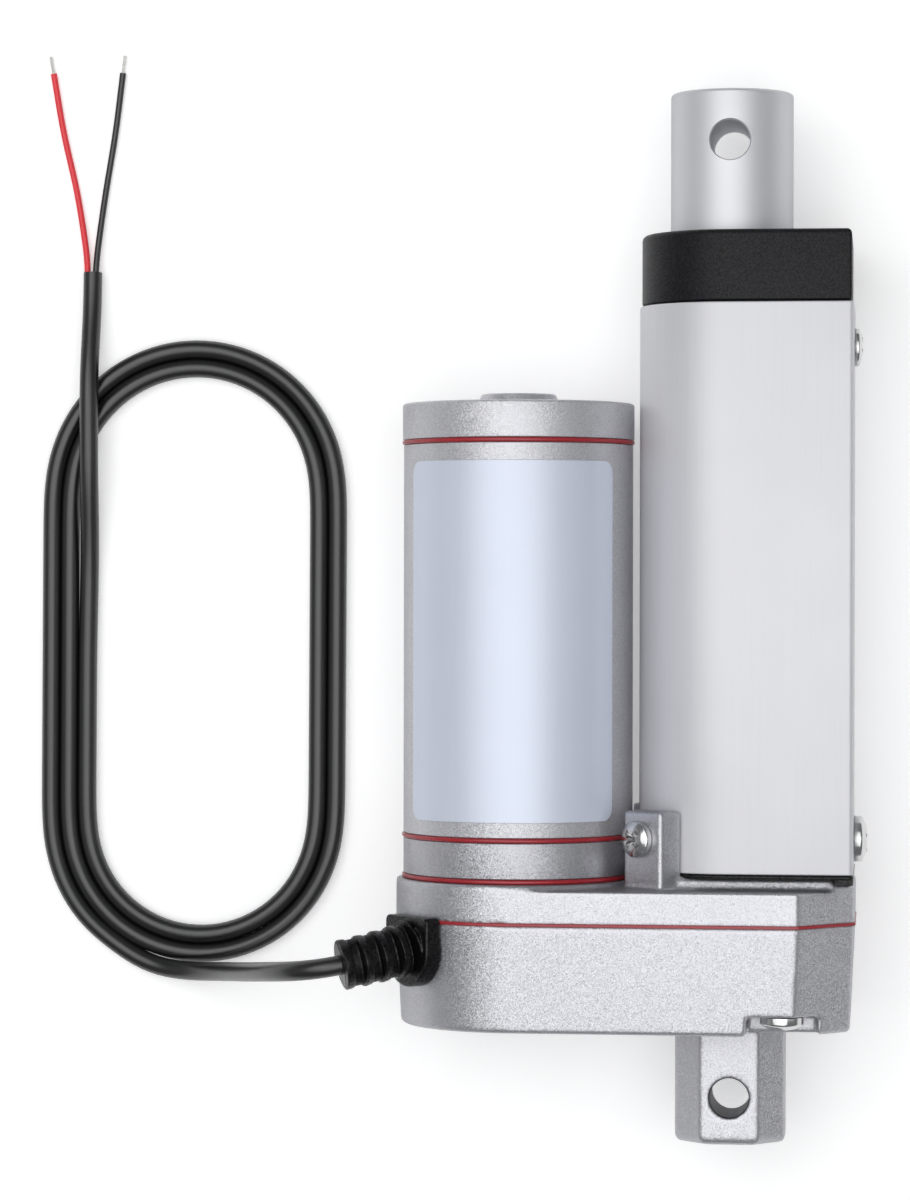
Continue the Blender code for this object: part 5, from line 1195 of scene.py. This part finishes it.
def build_gland(material, ribs):
    """The cable gland: a plate against the casting, a bent core and its ribs, moulded into one piece."""
    thing = new_object("finished_gland", gland_plate(), at_axis(0))
    steps = ((DRAFT, LOWER_BOTTOM), (0, LOWER_TOP), (0, UPPER_TOP))
    casting = stack(gearbox_outline, [(inset - GLAND_CLEARANCE, level) for inset, level in steps])
    cut(thing, casting, at_axis(MOTOR_X))

    root = gland_point(0) - gland_outward() * GLAND_FLANGE / 2
    core = [oval(facing(root, gland_outward()), gland_radius(0))]
    for step in range(4 * ribs + 1):
        share = step / (4 * ribs)
        core.append(oval(gland_frame(share), gland_radius(share)))
    join(thing, loft(core), Matrix.Identity(4))
    frames = [in_metres(gland_frame(0))]
    sizes = [round_size(GLAND_RING_RADIUS, GLAND_RING_WIDTH)]
    for rib in range(ribs):
        share = (rib + GLAND_RIB_PLACE) / ribs
        frames.append(in_metres(gland_frame(share)))
        sizes.append(round_size(gland_radius(share), GLAND_LENGTH / ribs * GLAND_RIB_SHARE))
    part = rib_part()
    rib_set = repeat("gland_ribs", part, frames, sizes, material)
    drop(part)
    combine(thing, rib_set, "UNION")
    remesh(thing, GLAND_VOXEL, GLAND_SMOOTHING)
    return finish_piece(thing, material, "black_rubber", "cable_gland", sharp=0)


# Cord and wires

def tube_along(points, radius, sides):
    """A closed tube along points, its rings carried along without twist."""
    angles = [math.tau * step / sides for step in range(sides)]
    rings = []
    side = None
    for index, point in enumerate(points):
        before = points[max(index - 1, 0)]
        after = points[min(index + 1, len(points) - 1)]
        way = (after - before).normalized()
        if side is None:
            side = way.orthogonal().normalized()
        side = (side - way * side.dot(way)).normalized()
        other = way.cross(side)
        rings.append([point + (side * math.cos(a) + other * math.sin(a)) * radius for a in angles])
    return loft(rings)


def smooth_route(points, spacing):
    """Points at about even steps on a smooth curve through the route's own points."""
    route = []
    padded = [2 * points[0] - points[1]] + points + [2 * points[-1] - points[-2]]
    for before, start, end, after in zip(padded, padded[1:], padded[2:], padded[3:]):
        steps = max(2, round((end - start).length / spacing))
        for step in range(steps):
            t = step / steps
            bend = (end - before) * t + (2 * before - 5 * start + 4 * end - after) * t * t
            route.append(start + (bend + (3 * start - before - 3 * end + after) * t ** 3) / 2)
    return route + [points[-1]]


def hank_point(step):
    """A point of the hank: a stadium that shrinks by one pitch a turn, clockwise from its lower middle."""
    turn = step / HANK_POINTS_PER_TURN
    wide = HANK_HALF_WIDTH - HANK_PITCH * turn
    half = HANK_STRAIGHT / 2
    quarter = HANK_QUARTER_ARC
    phase = turn % 0.5
    if quarter <= phase <= 0.5 - quarter:
        x, y = -wide, HANK_STRAIGHT * (phase - quarter) / (0.5 - 2 * quarter) - half
    else:
        end = math.copysign(1, phase - 0.25)
        angle = math.pi / 2 * min(phase, 0.5 - phase) / quarter
        x, y = -wide * math.sin(angle), end * (half + wide * math.cos(angle))
    side = 1 if turn % 1 < 0.5 else -1
    return Vector((HANK_CENTRE[0] + side * x, HANK_CENTRE[1] + side * y, CORD_RADIUS))


def even_steps(points, spacing):
    """The same line read at even steps."""
    lengths = [0.0]
    for start, end in zip(points, points[1:]):
        lengths.append(lengths[-1] + (end - start).length)
    count = round(lengths[-1] / spacing)
    line = []
    index = 0
    for step in range(count + 1):
        target = lengths[-1] * step / count
        while index < len(points) - 2 and lengths[index + 1] < target:
            index += 1
        span = lengths[index + 1] - lengths[index]
        line.append(points[index].lerp(points[index + 1], (target - lengths[index]) / span))
    return line


def relaxed(points, rounds):
    """The same line with its small kinks evened out and its ends kept."""
    for _ in range(rounds):
        middle = [b * 0.5 + (a + c) * 0.25 for a, b, c in zip(points, points[1:], points[2:])]
        points = [points[0]] + middle + [points[-1]]
    return points


def cord_line():
    """The cord's centreline from the gland's tip, round the hank, to the jacket's end, in millimetres."""
    tip_way = gland_direction(1)
    start = gland_point(GLAND_LENGTH) + Vector((0, EYE_Y, AXIS_Z))
    fine = 4
    first, last = HANK_FIRST_POINT * fine, HANK_LAST_POINT * fine
    loops = [hank_point(step / fine) for step in range(first, last + 1)]
    entry = (loops[1] - loops[0]).normalized()
    lead = [start - tip_way * CORD_HIDDEN, start + tip_way * 2 * CORD_RADIUS]
    lead += [Vector(point) for point in LEAD_ROUTE]
    lead.append(loops[0] - entry * 4 * CORD_RADIUS)
    tail_x = loops[-1].x
    tail = [Vector((tail_x + aside, y, z)) for aside, y, z in TAIL_ROUTE]
    line = smooth_route(lead, ROUTE_SPACING)[:-1] + loops[2:] + smooth_route(tail, ROUTE_SPACING)
    line = relaxed(even_steps(line, LINE_SPACING), LINE_ROUNDS)
    return [Vector((p.x, p.y, max(p.z, CORD_RADIUS))) for p in line]


def declare_cord(name, line, radius, material, slot, nodes, **facts):
    """A tube along a line, given its material and put in place of its nodes."""
    thing = new_object(name, tube_along(line, radius, CORD_SIDES), Matrix.Identity(4))
    finish_piece(thing, material, slot, *nodes, sharp=50.0)
    return thing


def strand_bundle(node, start, way, strands, material):
    """Twisted bare strands at a wire's end."""
    radius = TIP_RADIUS / 3
    place = Matrix.Translation(start) @ way.to_track_quat("Y", "Z").to_matrix().to_4x4()
    points = []
    faces = []
    for strand in range(strands):
        ring = TIP_RADIUS - radius if strand else 0.0
        begin = math.tau * strand / max(strands - 1, 1)
        line = []
        for step in range(STRAND_STEPS + 1):
            share = step / STRAND_STEPS
            angle = begin + math.pi * share
            reach = TIP_LENGTH * share - TIP_HIDDEN
            line.append(Vector((ring * math.cos(angle), reach, ring * math.sin(angle))))
        more, skin = tube_along(line, radius, CORD_SIDES // 2)
        faces += [tuple(index + len(points) for index in face) for face in skin]
        points += more
    thing = new_object(f"finished_{node}", (points, faces), place)
    return finish_piece(thing, material, "tinned_copper", node, sharp=50.0)


def build_cord(finishes, strands):
    """The cord and, from its end, the two wires: node, finish, slot, side and spread of each."""
    line = cord_line()
    declare_cord(
        "power_cord", line, CORD_RADIUS, finishes["jacket"], "cord_jacket",
        ("cord_lead", "cord_hank", "cord_tail"), far_end="bare", stiffness="medium", lay="coiled",
    )
    end_x = line[-1].x + WIRE_SHIFT
    end_y = line[-1].y
    for node, finish, slot, side, spread_out in WIRES:
        route = []
        aside = WIRE_RADIUS + WIRE_GAP / 2
        for share, out in WIRE_ROUTE:
            height = max(WIRE_RADIUS, CORD_RADIUS * (1 - 2 * share))
            x = end_x + side * (aside + spread_out * out)
            route.append(Vector((x, end_y + WIRE_LENGTH * share, height)))
        wire_line = relaxed(even_steps(smooth_route(route, WIRE_SPACING), WIRE_SPACING), WIRE_ROUNDS)
        way = (wire_line[-1] - wire_line[-2]).normalized()
        tip = strand_bundle(f"{node}_tip", wire_line[-1], way, strands, finishes["copper"])
        declare_cord(
            f"finished_{node}", wire_line, WIRE_RADIUS, finishes[finish], slot, (node,),
            far_end="bare", stiffness="medium", lay="loose", with_pieces=[tip],
        )


# Finishes

def outer_finishes(colours, sizes):
    """The materials of every outer piece, by name."""
    flake = sizes.flake_size
    finishes = {
        "casting": silver_paint(
            "cast_paint", colours.casting, (0.36, 0.48), flake, tilt=0.28, sparkle=0.36, peel=0.1,
            Metallic=0.9, Specular_Tint=DIM_EDGE,
        ),
        "motor": silver_paint(
            "motor_paint", colours.motor, (0.38, 0.50), flake, tilt=0.3, sparkle=0.4, peel=0.1,
            Metallic=0.65,
        ),
        # The motor's silver paint again, darker on the flange as painted shade.
        "flange": silver_paint(
            "flange_paint", colours.flange, (0.34, 0.48), flake, tilt=0.34, sparkle=0.5, peel=0.12,
            Metallic=0.75,
        ),
        "tube": grained(
            "anodised", colours.tube, (0.46, 0.56), metallic=0.35, stretch=(1, 0.02, 1), depth=0.000004,
            bump=0.25,
        ),
        "rod": grained(
            "bright_rod", colours.rod, (0.54, 0.62), metallic=0.85, stretch=(0.05, 1, 0.05), shade=0.08,
            depth=0.000003, bump=0.25, Specular_Tint=DARK_EDGE,
        ),
        "gasket": grained(
            "silicone", colours.gasket, (0.26, 0.38), scale=1800.0, shade=0.35, bump=0.2,
            Specular_IOR_Level=0.6,
        ),
        "plastic": grained(
            "moulded_plastic", colours.plastic, (0.36, 0.56), scale=3600.0, shade=1.5, depth=0.00006,
            bump=0.8, gloss=(-0.25, 0.85), Specular_IOR_Level=0.1, Coat_Roughness=0.5,
        ),
        "rubber": grained(
            "moulded_rubber", colours.gland, (0.24, 0.42), scale=2200.0, shade=0.4, depth=0.0001, bump=0.9,
            gloss=(-0.5, 1.3), Specular_IOR_Level=0.1, Coat_Roughness=0.34,
        ),
        "jacket": grained(
            "cord_jacket", colours.jacket, (0.28, 0.36), scale=900.0, shade=0.3, depth=0.00002, bump=0.15,
            Specular_IOR_Level=0.8,
        ),
        "red_wire": grained(
            "red_insulation", colours.wire, (0.28, 0.38), scale=900.0, shade=0.12, bump=0.2,
        ),
        "copper": grained(
            "tinned_strand", TIN_COLOUR, (0.22, 0.36), metallic=1.0, scale=3000.0, shade=0.25, bump=0.2,
        ),
        "screws": grained(
            "bright_zinc", colours.screws, (0.12, 0.26), metallic=1.0, scale=1800.0, shade=0.1,
            depth=0.000004, bump=0.2,
        ),
        "label": grained(
            "bare_foil", colours.label, (0.40, 0.48), metallic=0.25, scale=1200.0, broad=90.0,
            stretch=(1, 0.05, 1), shade=0.1, depth=0.000006, bump=0.2, Coat_Weight=0.25, Coat_Roughness=0.3,
        ),
    }
    # Painted shade on the wall of the eye's pin bore, mixed into the casting's paint.
    tree = finishes["casting"].node_tree
    bore_centre = (ROD_X * MM, EYE_Y * MM)
    bore_shade_radius = (PIN_HOLE_RADIUS + BORE_SHADE_MARGIN) * MM
    paint_bore_shade(tree, tree.nodes["Principled BSDF"], bore_centre, bore_shade_radius, BORE_SHADE_COLOUR)
    return finishes


INNER_FINISHES = {
    "plain_steel": ((0.50, 0.50, 0.51), (0.22, 0.36), dict(metallic=1.0, stretch=(0.1, 1, 0.1))),
    "bronze": ((0.46, 0.29, 0.11), (0.28, 0.44), dict(metallic=1.0, shade=0.25)),
    "copper": ((0.62, 0.24, 0.10), (0.25, 0.40), dict(metallic=1.0, stretch=(1, 0.15, 1), bump=0.6)),
    "nylon": ((0.72, 0.70, 0.62), (0.36, 0.50), dict(shade=0.08)),
    "ferrite": ((0.035, 0.035, 0.038), (0.55, 0.75), dict(shade=0.4, bump=0.6)),
    "carbon": ((0.018, 0.018, 0.019), (0.40, 0.60), dict(shade=0.4)),
    "circuit_board": ((0.012, 0.13, 0.045), (0.24, 0.40), dict(scale=700.0, shade=0.5)),
    "black_plastic": ((0.016, 0.016, 0.018), (0.40, 0.56), dict(scale=4500.0, shade=0.4, bump=0.5)),
}


def finish_inner_nodes():
    """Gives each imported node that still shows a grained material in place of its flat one."""
    slots = {entry["node"]: entry["material_slot"] for entry in frame["record"]["subparts"]}
    materials = {}
    for name, node in frame["nodes"].items():
        if node.hide_render:
            continue
        slot = slots[name]
        if slot not in materials:
            colour, roughness, more = INNER_FINISHES[slot]
            materials[slot] = grained(f"inner_{slot}", colour, roughness, **more)
        for holder in node.material_slots:
            holder.material = materials[slot]


# Stage

FLOOR_HALF_WIDTH = 3.0
FLOOR_DROP = 0.0001
FLOOR_LIFT = 0.32
PAPER_WHITE = (0.95, 0.95, 0.95, 1)
WORLD_COLOUR = (0.95, 0.97, 1.0, 1)
WORLD_LIGHT = 0.2
LAMP_TARGET = (-0.02, 0.0, 0.02)
LAMPS = (
    ("overhead", (-0.1, 0.05, 1.1), (1.3, 1.5), 8.4),
    ("overhead_core", (-0.09, 0.05, 1.09), (0.45, 1.4), 1.8),
    ("right_strip", (0.75, 0.0, 0.85), (0.2, 1.2), 0.4),
    ("left_panel", (-1.2, 0.0, 0.4), (1.4, 0.7), 0.5),
)


def camera_turn():
    """The camera's turn, from the pixel that lies straight below it and its roll."""
    wide, tall = IMAGE_SIZE
    down = Vector((CAMERA_DOWN_PIXEL[0] - wide / 2, tall / 2 - CAMERA_DOWN_PIXEL[1], -CAMERA_FOCAL_PIXELS))
    turn = down.normalized().rotation_difference(Vector((0, 0, -1))).to_matrix()
    return Matrix.Rotation(CAMERA_ROLL, 3, "Z") @ turn


def build_camera():
    data = bpy.data.cameras.new("photo_camera")
    data.sensor_width = SENSOR
    data.sensor_height = SENSOR
    data.lens = CAMERA_FOCAL_PIXELS / IMAGE_SIZE[1] * SENSOR
    data.clip_start = 0.01
    data.clip_end = 20.0
    camera = linked_object("photo_camera", data)
    camera.matrix_world = Matrix.Translation(Vector(CAMERA_PLACE) * MM) @ camera_turn().to_4x4()
    bpy.context.scene.camera = camera


def build_floor():
    """A sheet of white paper, a little brighter where it is seen."""
    shape = bmesh.new()
    bmesh.ops.create_grid(shape, x_segments=8, y_segments=8, size=FLOOR_HALF_WIDTH)
    mesh = bpy.data.meshes.new("studio_floor")
    shape.to_mesh(mesh)
    shape.free()
    floor = linked_object("studio_floor", mesh)
    floor.location.z = -FLOOR_DROP
    material, tree, shader = new_material(
        "studio_paper", Base_Color=PAPER_WHITE, Roughness=0.9, Specular_IOR_Level=0.0,
        Emission_Color=(1, 1, 1, 1),
    )
    path = tree.nodes.new("ShaderNodeLightPath")
    seen = math_node(tree, "MAXIMUM", path.outputs["Is Camera Ray"], path.outputs["Is Glossy Ray"])
    seen = math_node(tree, "MAXIMUM", seen, path.outputs["Is Transmission Ray"])
    lift = math_node(tree, "MULTIPLY", seen, FLOOR_LIFT)
    tree.links.new(lift, shader.inputs["Emission Strength"])
    mesh.materials.append(material)


def area_light(name, place, size, power):
    data = bpy.data.lights.new(name, "AREA")
    data.shape = "RECTANGLE"
    data.size, data.size_y = size
    data.energy = power
    light = linked_object(name, data)
    light.location = place
    light.rotation_euler = (Vector(LAMP_TARGET) - Vector(place)).to_track_quat("-Z", "Y").to_euler()


def build_world():
    """Even studio light from all round."""
    world = bpy.data.worlds.new("studio")
    bpy.context.scene.world = world
    world.use_nodes = True
    backdrop = world.node_tree.nodes["Background"]
    backdrop.inputs["Color"].default_value = WORLD_COLOUR
    backdrop.inputs["Strength"].default_value = WORLD_LIGHT


def build_stage():
    build_floor()
    build_world()
    for lamp in LAMPS:
        area_light(*lamp)
    build_camera()
    view = bpy.context.scene.view_settings
    view.view_transform = "Standard"
    view.look = "None"
    view.exposure = 0.0
    view.gamma = 1.0


# Operators

class ActuatorOperator:
    """What the operators share: an undo step each, and the scene's own finishes."""

    bl_options = {"REGISTER", "UNDO"}

    def finishes(self, context):
        scene = context.scene
        if not FINISHES:
            FINISHES.update(outer_finishes(scene.actuator_colours, scene.actuator_sizes))
        return FINISHES


FINISHES = {}


class ACTUATOR_OT_castings(ActuatorOperator, bpy.types.Operator):
    """Builds the two gearbox castings and the gasket between them."""

    bl_idname = "actuator.castings"
    bl_label = "Castings"

    def execute(self, context):
        finishes = self.finishes(context)
        build_castings(finishes["casting"], finishes["gasket"], context.scene.actuator_sizes)
        return {"FINISHED"}


class ACTUATOR_OT_motor(ActuatorOperator, bpy.types.Operator):
    """Builds the motor's case, its ring gaskets and its bare label."""

    bl_idname = "actuator.motor"
    bl_label = "Motor"

    def execute(self, context):
        finishes = self.finishes(context)
        build_motor(finishes["motor"], finishes["flange"], finishes["gasket"])
        build_label(finishes["label"])
        return {"FINISHED"}


class ACTUATOR_OT_tube(ActuatorOperator, bpy.types.Operator):
    """Builds the outer tube, its base seal, the front cap and the wiper."""

    bl_idname = "actuator.tube"
    bl_label = "Tube and Cap"

    def execute(self, context):
        finishes = self.finishes(context)
        build_tube(finishes["tube"], finishes["rubber"], finishes["plastic"])
        return {"FINISHED"}


class ACTUATOR_OT_rod(ActuatorOperator, bpy.types.Operator):
    """Builds the rod with its cross hole."""

    bl_idname = "actuator.rod"
    bl_label = "Rod"

    def execute(self, context):
        build_rod(self.finishes(context)["rod"])
        return {"FINISHED"}


class ACTUATOR_OT_screws(ActuatorOperator, bpy.types.Operator):
    """Sets every outer screw."""

    bl_idname = "actuator.screws"
    bl_label = "Screws"

    def execute(self, context):
        build_screws(self.finishes(context)["screws"])
        return {"FINISHED"}


class ACTUATOR_OT_gland(ActuatorOperator, bpy.types.Operator):
    """Moulds the ribbed cable gland."""

    bl_idname = "actuator.gland"
    bl_label = "Cable Gland"

    def execute(self, context):
        build_gland(self.finishes(context)["rubber"], context.scene.actuator_sizes.gland_ribs)
        return {"FINISHED"}


class ACTUATOR_OT_cord(ActuatorOperator, bpy.types.Operator):
    """Lays the cord in its hank and spreads its two wires."""

    bl_idname = "actuator.cord"
    bl_label = "Cord"

    def execute(self, context):
        build_cord(self.finishes(context), context.scene.actuator_sizes.strands)
        return {"FINISHED"}


class ACTUATOR_OT_inside(ActuatorOperator, bpy.types.Operator):
    """Gives the parts inside their own materials."""

    bl_idname = "actuator.inside"
    bl_label = "Inside Parts"

    def execute(self, context):
        finish_inner_nodes()
        return {"FINISHED"}


class ACTUATOR_OT_stage(ActuatorOperator, bpy.types.Operator):
    """Sets the floor, the light and the camera."""

    bl_idname = "actuator.stage"
    bl_label = "Stage"

    def execute(self, context):
        build_stage()
        return {"FINISHED"}


STEPS = (
    ACTUATOR_OT_stage, ACTUATOR_OT_cord, ACTUATOR_OT_gland, ACTUATOR_OT_castings, ACTUATOR_OT_motor,
    ACTUATOR_OT_tube, ACTUATOR_OT_rod, ACTUATOR_OT_screws, ACTUATOR_OT_inside,
)


class ACTUATOR_PT_panel(bpy.types.Panel):
    """The actuator's sizes, colours and steps."""

    bl_idname = "ACTUATOR_PT_panel"
    bl_label = "Linear Actuator"
    bl_space_type = "VIEW_3D"
    bl_region_type = "UI"
    bl_category = "Actuator"

    def draw(self, context):
        column = self.layout.column()
        for group in (context.scene.actuator_sizes, context.scene.actuator_colours):
            for name in group.__annotations__:
                column.prop(group, name)
        for step in STEPS:
            column.operator(step.bl_idname)


CLASSES = (ActuatorColours, ActuatorSizes, *STEPS, ACTUATOR_PT_panel)


def register():
    for each in CLASSES:
        bpy.utils.register_class(each)
    bpy.types.Scene.actuator_colours = PointerProperty(type=ActuatorColours)
    bpy.types.Scene.actuator_sizes = PointerProperty(type=ActuatorSizes)


def unregister():
    del bpy.types.Scene.actuator_sizes
    del bpy.types.Scene.actuator_colours
    for each in reversed(CLASSES):
        bpy.utils.unregister_class(each)


def main():
    register()
    bpy.ops.actuator.stage()
    bpy.ops.actuator.cord()
    bpy.ops.actuator.gland()
    bpy.ops.actuator.castings()
    bpy.ops.actuator.motor()
    bpy.ops.actuator.tube()
    bpy.ops.actuator.rod()
    bpy.ops.actuator.screws()
    bpy.ops.actuator.inside()


if __name__ == "__main__":
    main()
